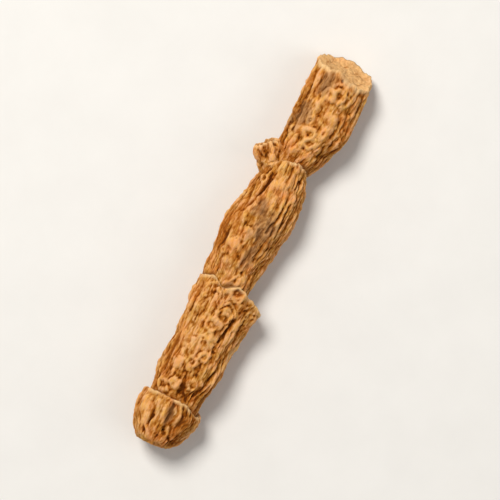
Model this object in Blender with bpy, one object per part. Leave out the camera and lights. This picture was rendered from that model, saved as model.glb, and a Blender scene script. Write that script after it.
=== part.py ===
"""A dried calamus rhizome as it is sold for tea: one brown stick, broken from a longer one.

Run with: blender --background --python part.py
Units are metres with +Z up. The root lies along X on the plane z = 0, rounded tip at -X and broken end at +X.

The root grew as four internodes, one out of another like sleeves: tip, lower, middle and upper. Each has its
own centre line and girth, and ends in a collar, the edge that the old leaf left. A short side shoot stands
beside the last collar. All of it is one solid. Stations are millimetres along the root from its tip, and
angles are degrees round it: 0 on top, 90 at +Y, -90 at -Y.
"""

import math
import random
from collections import namedtuple

import bpy
import numpy as np
from mathutils import Vector, noise

MM = 0.001

NODE = "rhizome"
BARK_COLOUR = (0.36, 0.17, 0.055, 1.0)
BARK_ROUGHNESS = 0.82

# How finely the skin is sampled, and how many triangles are kept of it.
SIDES = 144
ROW_STEP = 0.7
WALL_ROWS = 3
TIP_ROWS = 12
FACE_ROWS = 9
TRIANGLES = 11600

# The centre line and girth of each internode, at a few stations.
Internode = namedtuple("Internode", "name stations centre_y centre_z half_width half_height")
INTERNODES = (
    Internode(
        "tip",
        stations=(-1.3, 2.1, 5.0, 8.0, 12.5),
        centre_y=(3.9, 3.7, 3.6, 3.3, 3.4),
        centre_z=(7.6, 7.7, 7.8, 7.9, 7.9),
        half_width=(6.6, 6.9, 7.6, 8.3, 7.5),
        half_height=(6.3, 6.4, 6.8, 7.2, 6.9),
    ),
    Internode(
        "lower",
        stations=(8.0, 14.0, 18.0, 30.0, 38.0, 46.0),
        centre_y=(3.4, 3.3, 2.9, 2.8, 2.6, 2.5),
        centre_z=(7.3, 7.2, 7.2, 7.2, 7.4, 7.5),
        half_width=(6.6, 7.1, 7.8, 8.1, 8.5, 8.5),
        half_height=(5.9, 6.3, 6.8, 7.1, 7.2, 7.0),
    ),
    Internode(
        "middle",
        stations=(40.0, 46.0, 51.0, 56.7, 63.0, 68.0, 75.0, 80.0, 84.0),
        centre_y=(4.1, 4.3, 4.4, 4.1, 3.6, 2.7, 2.6, 2.9, 3.0),
        centre_z=(7.4, 7.4, 7.4, 7.5, 7.6, 7.7, 7.8, 7.8, 7.8),
        half_width=(6.3, 6.7, 7.1, 8.1, 8.5, 7.8, 6.6, 5.7, 5.4),
        half_height=(5.7, 5.9, 6.3, 6.8, 7.0, 6.8, 6.2, 5.9, 5.7),
    ),
    Internode(
        "upper",
        stations=(72.0, 79.0, 82.0, 86.5, 90.0, 98.0, 112.0),
        centre_y=(3.4, 2.7, 1.9, 1.1, 0.4, 0.1, 0.1),
        centre_z=(7.2, 7.1, 7.0, 6.9, 6.9, 6.9, 7.1),
        half_width=(4.6, 5.3, 6.3, 7.2, 8.0, 8.1, 7.8),
        half_height=(4.5, 5.0, 5.5, 6.3, 6.7, 6.9, 6.8),
    ),
)

# The edge of an internode: its station, where it swings along the root (angle, spread, shift), where it
# flares out (angle, spread, height, reach), how ragged it is and how far the next internode lies under it.
Edge = namedtuple("Edge", "station swings flares ragged undercut")
COLLARS = (
    Edge(
        12.4,
        swings=((-80, 40, -2.4), (120, 50, -1.2)),
        flares=((10, 80, 0.3, 1.6), (180, 60, 0.3, 1.5)),
        ragged=0.4,
        undercut=0.7,
    ),
    Edge(
        44.8,
        swings=((-92, 40, -3.6), (-14, 14, 0.9), (10, 14, -0.9), (42, 18, 0.7), (130, 45, -1.2)),
        flares=((-84, 30, 1.9, 3.5), (-10, 40, 0.4, 1.5), (140, 50, 0.6, 2.0)),
        ragged=0.5,
        undercut=0.6,
    ),
    Edge(
        81.2,
        swings=((-90, 35, -2.4), (50, 35, -2.2), (180, 50, -2.6)),
        flares=((-5, 45, 0.5, 1.3), (170, 60, 0.5, 2.0)),
        ragged=0.5,
        undercut=0.8,
    ),
)
BREAK = Edge(
    110.9,
    swings=((-40, 55, -5.4), (48, 42, -2.6), (180, 32, 1.7)),
    flares=((-35, 50, 0.3, 1.0),),
    ragged=0.9,
    undercut=0.0,
)
BREAK_HOLLOW = 1.1
BREAK_GRAIN = (2.0, 0.8)

# How long a rounding each edge has, and how far it drops there.
EDGE_ROUND = 0.7
EDGE_DROP = 0.3

# How far an internode stands clear of the one that comes out of it, within reach of its edge.
COVER = 0.35
COVER_REACH = 2.0

# The rounded tip.
TIP_LENGTH = 5.0
TIP_SQUARENESS = 0.52
TIP_LUMPS = (2.6, 0.5)

# Wrinkles from drying: long grooves between rounded ribs, over slow swellings. Grain is along and across.
SKIN_RADIUS = 8.0
SWELLING_GRAIN = (15.0, 7.0)
SWELLING_HEIGHT = 0.75
RIB_GRAIN = (9.5, 2.1)
RIB_HEIGHT = 1.35
RIB_WANDER = 0.20
CROSS_GRAIN = (3.4, 3.2)
CROSS_HEIGHT = 0.35

# Scars where rootlets came away: a ring round a hollow. Knobs have no hollow and pits have no ring.
Scar = namedtuple("Scar", "station angle radius ring hollow")
SEEN_SCARS = (
    Scar(3.7, -11, 0.8, 0.1, 1.2),
    Scar(1.6, 32, 1.0, 0.1, 0.6),
    Scar(2.3, -33, 0.9, 0.1, 0.8),
    Scar(14.6, 38, 1.5, 0.5, 0.6),
    Scar(16.0, 14, 1.2, 0.5, -0.4),
    Scar(14.6, -2, 1.1, 0.1, 0.7),
    Scar(17.6, -19, 1.2, 0.4, 0.1),
    Scar(21.7, 28, 1.3, 0.3, -0.4),
    Scar(23.0, 4, 1.3, 0.45, 0.3),
    Scar(25.4, -13, 1.1, 0.4, 0.3),
    Scar(31.0, -2, 1.0, 0.35, 0.0),
    Scar(33.9, 2, 1.5, 0.5, 0.35),
    Scar(36.7, -14, 1.5, 0.5, 0.4),
    Scar(44.2, -14, 1.7, 0.9, 0.9),
    Scar(47.5, -24, 0.9, 0.1, -0.5),
    Scar(49.3, -24, 0.7, 0.1, 0.8),
    Scar(55.5, 18, 1.3, 0.3, -0.4),
    Scar(59.0, 9, 1.5, 0.3, -0.4),
    Scar(73.9, 41, 0.9, 0.5, 0.8),
    Scar(83.6, -14, 1.2, 0.2, -0.5),
    Scar(85.4, 1, 0.8, 0.1, 0.9),
    Scar(86.1, 34, 1.3, 0.4, -0.3),
    Scar(87.1, -5, 1.3, 0.45, 0.4),
    Scar(89.5, 8, 1.4, 0.55, 0.4),
    Scar(88.9, 40, 1.2, 0.3, -0.3),
    Scar(92.9, 19, 0.8, 0.3, 0.7),
    Scar(94.0, -14, 1.8, 0.3, -0.3),
    Scar(101.6, -10, 1.5, 0.6, 0.6),
    Scar(100.9, -25, 1.4, 0.4, 0.1),
    Scar(101.0, 10, 1.2, 0.4, 0.0),
)
HIDDEN_SCAR_COUNT = 34
HIDDEN_SCAR_SEED = 11

# Splits in the skin: from (station, angle) to (station, angle), half width and depth.
Split = namedtuple("Split", "start end half_width depth")
SPLITS = (
    Split((6.4, -5), (11.0, -6), 0.45, 0.8),
    Split((3.4, 27), (6.2, 24), 0.45, 0.7),
    Split((15.0, -38), (25.5, -52), 0.5, 0.7),
    Split((30.5, -26), (37.5, -35), 0.5, 0.9),
    Split((64.0, 42), (76.5, 20), 0.5, 1.1),
    Split((61.5, -24), (78.0, -32), 0.45, 0.7),
    Split((64.0, -44), (77.0, -50), 0.45, 0.7),
    Split((90.5, -38), (99.0, -46), 0.45, 0.7),
)

# Old leaf scars: nested arches round a bud. Apex (station, angle), how wide they open, and how far they reach.
Arches = namedtuple("Arches", "apex opening reach spacing height")
LEAF_SCARS = (
    Arches((44.6, 24), 2.6, 11.0, 1.7, 0.3),
    Arches((41.0, -14), 1.9, 7.0, 1.6, 0.3),
    Arches((110.0, -150), 2.4, 9.0, 1.8, 0.3),
    Arches((43.5, 165), 2.6, 9.0, 1.8, 0.3),
)

# The side shoot: a broken stub beside the last collar.
SHOOT_BASE = Vector((75.6, 3.6, 7.6))
SHOOT_END = Vector((83.1, 11.2, 9.6))
SHOOT_RADII = (4.4, 3.7, 3.4)
SHOOT_SIDES = 30
SHOOT_ROWS = 12
SHOOT_ROUND = 1.0
SHOOT_HOLLOW = 1.1
SHOOT_RIBS = 1.0

# How deep the lowest bumps are worn flat where the root lies, and how even that wear is.
REST_DEPTH = 0.75
REST_EVENNESS = 0.03


def through(stations, values, at):
    """A smooth curve through the values at the stations, read at other stations."""
    x = np.asarray(stations, float)
    y = np.asarray(values, float)
    slope = np.gradient(y, x)
    i = np.clip(np.searchsorted(x, at) - 1, 0, len(x) - 2)
    span = x[i + 1] - x[i]
    t = np.clip((at - x[i]) / span, 0.0, 1.0)
    blend = t * t * (3 - 2 * t)
    bend = span * t * (1 - t) * (slope[i] * (1 - t) - slope[i + 1] * t)
    chord = (y[i + 1] - y[i]) * (blend - t + t) + bend
    return y[i] + chord


def turn_from(angle, centre):
    """Degrees from a centre angle, between -180 and 180."""
    return (np.degrees(angle) - centre + 180.0) % 360.0 - 180.0


def across(angle, centre):
    """Millimetres round the skin from a centre angle."""
    return turn_from(angle, centre) * math.radians(SKIN_RADIUS)


def hill(value, spread):
    return np.exp(-((value / spread) ** 2))


def noise_at(x, y, z):
    values = [noise.noise(Vector(p)) for p in zip(x.flat, y.flat, z.flat)]
    return np.array(values).reshape(x.shape)


def bark_noise(station, angle, grain, sample):
    """Noise wound round the root, so it has no seam."""
    along, round_it = grain
    radius = SKIN_RADIUS / round_it
    return noise_at(station / along + 17.3 * sample, radius * np.sin(angle), radius * np.cos(angle))


def edge_station(edge, angle):
    """Where an edge stands at each angle."""
    station = np.full_like(angle, edge.station)
    for centre, spread, shift in edge.swings:
        station += shift * hill(turn_from(angle, centre), spread)
    return station + edge.ragged * bark_noise(station, angle, (30.0, 2.6), 5)


def flare(edge, station, angle):
    """How far the skin stands out as it nears its edge."""
    left = np.maximum(edge_station(edge, angle) - station, 0.0)
    raised = np.zeros_like(station)
    for centre, spread, height, reach in edge.flares:
        raised += height * hill(turn_from(angle, centre), spread) * np.exp(-left / reach)
    return raised - EDGE_DROP * np.maximum(0.0, 1 - left / EDGE_ROUND) ** 2


def hidden_scars():
    """Rootlet scars in loose rows along the underside and flanks."""
    draw = random.Random(HIDDEN_SCAR_SEED)
    rows = (120, 165, -165, -120)
    first, last = 6.0, 106.0
    scars = []
    for i in range(HIDDEN_SCAR_COUNT):
        station = first + (last - first) * (i + 0.5 * draw.random()) / HIDDEN_SCAR_COUNT
        angle = rows[i % len(rows)] + draw.uniform(-14, 14)
        scars.append(Scar(station, angle, draw.uniform(1.1, 1.6), draw.uniform(0.3, 0.55), draw.uniform(0.0, 0.6)))
    return scars


def scar_relief(station, angle, scars):
    relief = np.zeros_like(station)
    for scar in scars:
        away = np.hypot(station - scar.station, across(angle, scar.angle))
        relief += scar.ring * hill(away - scar.radius, 0.45 * scar.radius)
        relief -= scar.hollow * hill(away, 0.6 * scar.radius)
    return relief


def split_relief(station, angle):
    relief = np.zeros_like(station)
    for split in SPLITS:
        x = station - split.start[0]
        y = across(angle, split.start[1])
        run = split.end[0] - split.start[0]
        rise = math.radians(split.end[1] - split.start[1]) * SKIN_RADIUS
        share = np.clip((x * run + y * rise) / (run * run + rise * rise), 0.0, 1.0)
        away = np.hypot(x - share * run, y - share * rise)
        relief -= split.depth * hill(away, split.half_width)
    return relief


def leaf_scar_relief(station, angle):
    """Nested arches: ridges along curves that open backwards from the apex."""
    relief = np.zeros_like(station)
    for arches in LEAF_SCARS:
        side = across(angle, arches.apex[1])
        back = arches.apex[0] - station
        depth = back - side * side / arches.opening
        fade = hill(side, 4.5) * hill(np.maximum(back, 0.0), arches.reach) * (depth > -0.5 * arches.spacing)
        relief += arches.height * fade * np.cos(2 * math.pi * depth / arches.spacing) * hill(depth, 5.0)
    return relief


def skin_relief(index, station, angle, scars):
    """Height of the wrinkled skin over the plain girth, in mm."""
    swelling = bark_noise(station, angle, SWELLING_GRAIN, index)
    wander = bark_noise(station, angle, (9.0, 8.0), index + 10)
    ribs = np.abs(bark_noise(station, angle + RIB_WANDER * wander, RIB_GRAIN, index + 20))
    cross = bark_noise(station, angle, CROSS_GRAIN, index + 30)
    relief = SWELLING_HEIGHT * swelling + RIB_HEIGHT * (ribs - 0.25) + CROSS_HEIGHT * cross
    return (
        relief
        + scar_relief(station, angle, scars)
        + split_relief(station, angle)
        + leaf_scar_relief(station, angle)
    )


def skin_point(index, station, angle, raised):
    """The point of an internode's skin at a station and angle, raised by some mm."""
    internode = INTERNODES[index]
    centre_y, centre_z, half_width, half_height = (
        through(internode.stations, values, station) for values in internode[2:]
    )
    y = centre_y + (half_width + raised) * np.sin(angle)
    z = centre_z + (half_height + raised) * np.cos(angle)
    return np.stack([station, y, z], axis=-1)


def height_over(index, points, angle):
    """How far points stand over the plain skin of an internode."""
    gap = points - skin_point(index, points[..., 0], angle, 0.0)
    return gap[..., 1] * np.sin(angle) + gap[..., 2] * np.cos(angle)


def cover(index, station, angle, raised):
    """Lifts an internode's skin near its edge, so that it covers the next one."""
    height = height_over(index + 1, skin_point(index, station, angle, raised), angle)
    left = edge_station(COLLARS[index], angle) - station
    return raised + np.maximum(COVER - height, 0.0) * np.clip(COVER_REACH - left, 0.0, 1.0)


def internode_rows(index, angle, scars, previous_row):
    """Rows of points along one internode, from under the last collar to its own edge."""
    if previous_row is None:
        first = np.full_like(angle, INTERNODES[0].stations[0] + TIP_LENGTH)
    else:
        step = height_over(index, previous_row, angle)
        first = previous_row[:, 0] - COLLARS[index - 1].undercut * np.clip(step, -1.0, 1.2)
    edge = (*COLLARS, BREAK)[index]
    last = edge_station(edge, angle)
    count = round(float((last - first).mean()) / ROW_STEP)
    share = np.linspace(0.0, 1.0, count)[:, None]
    station = first + (last - first) * share
    angles = np.broadcast_to(angle, station.shape)
    raised = skin_relief(index, station, angles, scars)
    if previous_row is not None:
        raised = raised * np.clip((station - first) / 2.0, 0.15, 1.0)
    raised = raised + flare(edge, station, angles)
    if index < len(COLLARS):
        raised = cover(index, station, angles, raised)
    return list(skin_point(index, station, angles, raised))


def tip_rows(angle, scars):
    """The rounded tip, from its pole to where the first internode's skin takes over."""
    start = INTERNODES[0].stations[0]
    size, height = TIP_LUMPS
    rows = []
    for turn in np.linspace(0.0, math.pi / 2, TIP_ROWS + 1)[1:-1]:
        share = math.sin(turn) ** TIP_SQUARENESS
        station = np.full_like(angle, start + TIP_LENGTH * (1 - math.cos(turn)))
        raised = share * skin_relief(0, station, angle, scars)
        rim = skin_point(0, station, angle, raised)
        centre = skin_point(0, station, angle, 0.0).mean(axis=0)
        row = centre + (rim - centre) * share
        row[:, 0] -= height * math.cos(turn) * noise_at(*(row / size).T)
        rows.append(row)
    return rows


def wall_rows(last, first):
    """The rows down a collar's edge, from the skin that ends to the one that comes out of it."""
    return [last + (first - last) * share for share in np.linspace(0.0, 1.0, WALL_ROWS + 1)[1:-1]]


def break_rows(rim):
    """The broken face, from its rim to its middle: hollow inside the rim, with a coarse grain."""
    centre = rim.mean(axis=0)
    size, height = BREAK_GRAIN
    spread = rim - centre
    slant = np.linalg.lstsq(spread[:, 1:], spread[:, 0], rcond=None)[0]
    ragged = spread[:, 0] - spread[:, 1:] @ slant
    rows = []
    for share in np.linspace(1.0, 0.0, FACE_ROWS + 1)[1:-1]:
        row = centre + spread * share
        row[:, 0] += ragged * (share**5 - share)
        grain = noise_at(np.zeros_like(ragged), row[:, 1] / size, row[:, 2] / size)
        row[:, 0] += (1.0 - share**6) * (height * grain - BREAK_HOLLOW)
        rows.append(row)
    return rows


def closed_mesh(name, rows, first_pole, last_pole):
    """A closed mesh from rows of points with a pole at each end."""
    sides = len(rows[0])
    points = np.concatenate([[first_pole], *rows, [last_pole]]) * MM
    ring = [(a, (a + 1) % sides) for a in range(sides)]
    faces = [(0, 1 + b, 1 + a) for a, b in ring]
    for row in range(len(rows) - 1):
        low = 1 + row * sides
        high = low + sides
        faces += [(low + a, low + b, high + b, high + a) for a, b in ring]
    low = 1 + (len(rows) - 1) * sides
    faces += [(low + a, low + b, low + sides) for a, b in ring]
    mesh = bpy.data.meshes.new(name)
    mesh.from_pydata(points.tolist(), [], faces)
    mesh.update()
    return mesh


def add_object(name, mesh):
    obj = bpy.data.objects.new(name, mesh)
    bpy.context.scene.collection.objects.link(obj)
    return obj


def root_body():
    """The four internodes with their collars, as one closed skin."""
    angle = -np.arange(SIDES) * (2 * math.pi / SIDES)
    scars = [*SEEN_SCARS, *hidden_scars()]
    rows = tip_rows(angle, scars)
    pole = 2 * rows[0].mean(axis=0) - rows[1].mean(axis=0)
    for index in range(len(INTERNODES)):
        skin = internode_rows(index, angle, scars, rows[-1] if index else None)
        if index:
            rows += wall_rows(rows[-1], skin[0])
        rows += skin
    face = break_rows(rows[-1])
    return add_object(NODE, closed_mesh(NODE, rows + face, pole, face[-1].mean(axis=0)))


def side_shoot():
    """The broken stub of a side branch: a short ribbed stem with a rounded rim and a hollow end."""
    axis = np.array((SHOOT_END - SHOOT_BASE).normalized())
    length = (SHOOT_END - SHOOT_BASE).length
    side = np.cross(axis, (0.0, 0.0, 1.0))
    side /= np.linalg.norm(side)
    up = np.cross(side, axis)
    turn = np.arange(SHOOT_SIDES) * (2 * math.pi / SHOOT_SIDES)
    outward = np.outer(np.cos(turn), side) + np.outer(np.sin(turn), up)
    rows = []
    for share in np.linspace(0.0, 1.0, SHOOT_ROWS):
        reach = length * share
        centre = np.array(SHOOT_BASE) + axis * reach
        radius = np.interp(share, (0.0, 0.6, 1.0), SHOOT_RADII)
        ribs = np.abs(bark_noise(np.full_like(turn, reach), turn, (6.0, 5.0), 8))
        near_end = max(0.0, 1 - (length - reach) / SHOOT_ROUND)
        rounding = SHOOT_ROUND * (1 - math.sqrt(1 - near_end**2)) * 0.8
        rows.append(centre + outward * (radius - rounding + SHOOT_RIBS * (ribs - 0.2))[:, None])
    lip = rows[-1]
    end = np.array(SHOOT_END)
    for narrowed, sunk in ((0.66, 0.35), (0.42, 1.0), (0.2, 1.15)):
        rows.append(end + (lip - end) * narrowed - axis * SHOOT_HOLLOW * sunk)
    mesh = closed_mesh("side_shoot", rows, rows[0].mean(axis=0), rows[-1].mean(axis=0))
    return add_object("side_shoot", mesh)


def apply_modifiers(obj):
    """Gives the object the mesh that its modifiers make."""
    graph = bpy.context.evaluated_depsgraph_get()
    mesh = bpy.data.meshes.new_from_object(obj.evaluated_get(graph))
    obj.modifiers.clear()
    obj.data = mesh


def fuse(body, growth):
    """Joins a growth to the body by a union, and removes the growth."""
    growth.display_type = "WIRE"
    growth.hide_render = True
    union = body.modifiers.new("grown together", "BOOLEAN")
    union.operation = "UNION"
    union.solver = "EXACT"
    union.object = growth
    apply_modifiers(body)
    bpy.data.objects.remove(growth)


def thin_out(body):
    """Keeps the triangles where the skin is creased and drops them where it is plain."""
    body.data.calc_loop_triangles()
    fewer = body.modifiers.new("thinned", "DECIMATE")
    fewer.ratio = TRIANGLES / len(body.data.loop_triangles)
    fewer.use_collapse_triangulate = True
    apply_modifiers(body)


def mesh_points(body):
    return np.array([vertex.co for vertex in body.data.vertices])


def move_points(body, points):
    body.data.vertices.foreach_set("co", points.ravel())
    body.data.update()


def wear_flat(body, ground, evenness=0.0):
    """Wears the lowest bumps flat on the ground, so that the root lies firmly."""
    points = mesh_points(body)
    points[points[:, 2] < ground + evenness, 2] = ground
    move_points(body, points)


def lay_down(body):
    """Centres the root over the origin with its worn bumps on z = 0."""
    points = mesh_points(body)
    low, high = points.min(axis=0), points.max(axis=0)
    move_points(body, points - [(low[0] + high[0]) / 2, (low[1] + high[1]) / 2, low[2]])


def bark_material():
    material = bpy.data.materials.new("dried bark")
    material.use_nodes = True
    shader = material.node_tree.nodes["Principled BSDF"]
    shader.inputs["Base Color"].default_value = BARK_COLOUR
    shader.inputs["Roughness"].default_value = BARK_ROUGHNESS
    shader.inputs["Metallic"].default_value = 0.0
    return material


def main():
    for obj in list(bpy.data.objects):
        bpy.data.objects.remove(obj)
    root = root_body()
    fuse(root, side_shoot())
    ground = mesh_points(root)[:, 2].min() + REST_DEPTH * MM
    wear_flat(root, ground)
    thin_out(root)
    wear_flat(root, ground, REST_EVENNESS * MM)
    lay_down(root)
    root.data.materials.clear()
    root.data.materials.append(bark_material())
    root.data.shade_smooth()


main()
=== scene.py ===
"""Looks of a dried calamus rhizome: a fine skin over the plain solid, its colours, and a soft studio.

The skin is worked out as the solid is, from the same values, and then gets the finer wrinkles, warts, scars,
fibres and colours. Stations are millimetres along the root from its tip, and angles are degrees round it:
0 on top, 90 at +Y, -90 at -Y.
"""

import math
import random
from collections import namedtuple

import bmesh
import bpy
import numpy as np
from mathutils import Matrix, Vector, kdtree, noise


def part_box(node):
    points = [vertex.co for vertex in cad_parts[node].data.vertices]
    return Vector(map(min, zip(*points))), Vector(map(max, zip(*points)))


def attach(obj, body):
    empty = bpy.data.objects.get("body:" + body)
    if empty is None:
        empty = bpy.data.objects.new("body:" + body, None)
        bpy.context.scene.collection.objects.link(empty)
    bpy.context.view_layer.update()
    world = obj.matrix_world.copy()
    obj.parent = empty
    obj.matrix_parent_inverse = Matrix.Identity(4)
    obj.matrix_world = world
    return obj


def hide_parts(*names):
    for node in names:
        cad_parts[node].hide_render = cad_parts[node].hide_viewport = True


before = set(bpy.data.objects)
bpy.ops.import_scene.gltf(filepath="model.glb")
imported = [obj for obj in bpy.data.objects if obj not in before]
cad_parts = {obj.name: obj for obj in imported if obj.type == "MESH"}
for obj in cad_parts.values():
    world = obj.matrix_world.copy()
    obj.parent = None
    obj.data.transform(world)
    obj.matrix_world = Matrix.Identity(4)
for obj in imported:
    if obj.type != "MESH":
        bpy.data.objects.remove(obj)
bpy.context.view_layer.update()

MM = 0.001
NODE = "rhizome"

# How finely the skin is sampled: points round it, mm between its rows, and rows on the smaller parts.
SIDES = 240
ROW_STEP = 0.34
WALL_ROWS = 6
TIP_ROWS = 26
FACE_ROWS = 26

# Where the solid's own frame begins: the station, side and height that lie at the origin.
LAID_DOWN = (55.6205, 2.3517, -0.0351)

# The centre line and girth of each internode, at a few stations.
Internode = namedtuple("Internode", "name stations centre_y centre_z half_width half_height")
INTERNODES = (
    Internode(
        "tip",
        stations=(-1.3, 2.1, 5, 8, 12.5),
        centre_y=(3.9, 3.7, 3.6, 3.3, 3.4),
        centre_z=(7.6, 7.7, 7.8, 7.9, 7.9),
        half_width=(6.6, 6.9, 7.6, 8.3, 7.5),
        half_height=(6.3, 6.4, 6.8, 7.2, 6.9),
    ),
    Internode(
        "lower",
        stations=(8, 14, 18, 30, 38, 46),
        centre_y=(3.4, 3.3, 2.9, 2.8, 2.6, 2.5),
        centre_z=(7.3, 7.2, 7.2, 7.2, 7.4, 7.5),
        half_width=(6.6, 7.1, 7.8, 8.1, 8.5, 8.5),
        half_height=(5.9, 6.3, 6.8, 7.1, 7.2, 7),
    ),
    Internode(
        "middle",
        stations=(40, 46, 51, 56.7, 63, 68, 75, 80, 84),
        centre_y=(4.1, 4.3, 4.4, 4.1, 3.6, 2.7, 2.6, 2.9, 3),
        centre_z=(7.4, 7.4, 7.4, 7.5, 7.6, 7.7, 7.8, 7.8, 7.8),
        half_width=(6.3, 6.7, 7.1, 8.1, 8.5, 7.8, 6.6, 5.7, 5.4),
        half_height=(5.7, 5.9, 6.3, 6.8, 7, 6.8, 6.2, 5.9, 5.7),
    ),
    Internode(
        "upper",
        stations=(72, 79, 82, 86.5, 90, 98, 112),
        centre_y=(3.4, 2.7, 1.9, 1.1, 0.4, 0.1, 0.1),
        centre_z=(7.2, 7.1, 7, 6.9, 6.9, 6.9, 7.1),
        half_width=(4.6, 5.3, 6.3, 7.2, 8, 8.1, 7.8),
        half_height=(4.5, 5, 5.5, 6.3, 6.7, 6.9, 6.8),
    ),
)

# The edge of an internode: its station, where it swings along the root (angle, spread, shift), where it
# flares out (angle, spread, height, reach), how ragged it is, and how far the next one lies under it.
Edge = namedtuple("Edge", "station swings flares ragged undercut")
COLLARS = (
    Edge(
        12.4,
        swings=((-80, 40, -2.4), (120, 50, -1.2)),
        flares=((10, 80, 0.3, 1.6), (180, 60, 0.3, 1.5)),
        ragged=0.4,
        undercut=0.7,
    ),
    Edge(
        44.8,
        swings=((-92, 40, -3.6), (-14, 14, 0.9), (10, 14, -0.9), (42, 18, 0.7), (130, 45, -1.2)),
        flares=((-84, 30, 1.9, 3.5), (-10, 40, 0.4, 1.5), (140, 50, 0.6, 2)),
        ragged=0.5,
        undercut=0.6,
    ),
    Edge(
        81.2,
        swings=((-90, 35, -2.4), (50, 35, -2.2), (180, 50, -2.6)),
        flares=((-5, 45, 0.5, 1.3), (170, 60, 0.5, 2)),
        ragged=0.5,
        undercut=0.8,
    ),
)
BREAK = Edge(
    110.9,
    swings=((-40, 55, -5.4), (48, 42, -2.6), (180, 32, 1.7)),
    flares=((-35, 50, 0.3, 1),),
    ragged=0.9,
    undercut=0,
)
EDGES = (*COLLARS, BREAK)

# How long a rounding each edge has, how far it drops there, and how deep its nicks are.
EDGE_ROUND = 0.7
EDGE_DROP = 0.3
EDGE_NICKS = 0.3

# The pale lip of an edge, partly paler skin and partly a painted highlight along the rim: its width in mm,
# and the share of it that can't wear away.
COLLAR_LIP = (0.9, 0)
BREAK_LIP = (1.5, 0.6)
LIP_PALENESS_AND_HIGHLIGHT = 0.28
LIP_CONTRAST = 0.52
LIP_WHOLE_BETWEEN = (-0.35, 0.25)

# The broken face: how far it sinks, its lumps, sponge and fibres, the faint ring in it, and its pale rim,
# partly a painted highlight.
BREAK_HOLLOW = 1.1
BREAK_GRAIN = 2
BREAK_LUMPS = 0.8
SPONGE_GRAIN = (0.8, 1.7)
SPONGE_HEIGHT = 0.26
FIBRE_GRAIN = 0.4
FIBRE_HEIGHT = 0.08
RING_AT = 0.7
RING_SPREAD = 0.035
RING_DARKNESS = 0.3
BREAK_RIM_PALE_AND_HIGHLIGHT = 0.9

# How far an internode stands clear of the one that comes out of it, within reach of its edge.
COVER = 0.35
COVER_REACH = 2

# Where an internode comes out from under a collar: over how many mm its relief grows from the least share
# of it, how far the painted shade under the collar reaches, and how the wall down from the collar looks:
# somewhat hollow, so darker as painted shade, and pale at its top like the lip.
STEP_LIMITS = (-1, 1.2)
EMERGING = 2
LEAST_EMERGED = 0.15
SHADE_REACH = 1.6
WALL_HOLLOW = 0.6
WALL_PALE_AND_HIGHLIGHT = 0.8

# The rounded tip, and where its sides begin. Its blunt end has lumps, creases, warts and a rough grain.
TIP_LENGTH = 5
TIP_SQUARENESS = 0.52
TIP_SIDE = 0.55
OUTLINE_POINTS = 2000
TIP_LUMP_GRAIN = 2.6
TIP_LUMPS = 0.5
TIP_CREASE_GRAIN = 2
TIP_CREASES = 1.1
TIP_WART_GRAIN = 1.7
TIP_WARTS = 0.45
TIP_GRAIN = 0.6
TIP_ROUGHNESS = 0.22
# How much darker the low spots of the blunt end are: painted shade.
TIP_HOLLOWNESS = 0.85

# The cosines between which the skin turns from its flanks to the side that is seen from above.
UPPER_SIDE = (0.1, 0.5)

# The noises of the skin: the grain in mm along and round the root, and a sample that is read far from the
# others. In the skin of an internode its number is added to the sample. A pair of values called BETWEEN is
# the two levels of a noise between which one state of the skin turns into the other.
SKIN_RADIUS = 8
SAMPLE_GAP = 17.3
GRAINS = {
    "edge": (30, 2.6, 5), "nicks": (30, 0.9, 6), "lip": (30, 3.4, 7), "strokes": (1.9, 1.7, 81),
    "scars": (1.7, 1.5, 82), "split sides": (1.9, 1.7, 84), "splits healed": (2.6, 2.2, 85),
    "arch bends": (2.6, 2.2, 86), "arches worn": (3.2, 2.6, 87), "patches": (2.8, 1.6, 80),
    "patch rims": (1.2, 0.7, 83), "swellings": (15, 7, 0), "rib bends": (9, 8, 10), "ribs": (9.5, 2.1, 20),
    "cross folds": (3.4, 3.2, 30), "groove bends": (4, 3, 40), "groove tremor": (1.5, 1.2, 42),
    "groove depth": (13, 5, 45), "warts": (2.4, 2, 50), "lumps": (4.2, 1.5, 55), "grooves": (8, 1.1, 60),
    "hairs": (4.5, 0.52, 65), "skin": (1.3, 0.8, 70), "fine skin": (0.75, 0.45, 80), "shoot ribs": (6, 5, 8),
    "shoot lip": (1, 3.2, 12), "shoot warts": (2, 3.4, 90), "shoot skin": (0.9, 1.1, 91),
}

# Wrinkles from drying: long grooves between rounded ribs, over slow swellings. On the seen side the ribs lose
# some of their height.
SWELLING_HEIGHT = 0.75
RIB_HEIGHT = 1.35
RIB_LEVEL = 0.25
RIB_WANDER = 0.2
SEEN_RIBS = 0.4
CROSS_HEIGHT = 0.35

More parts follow.
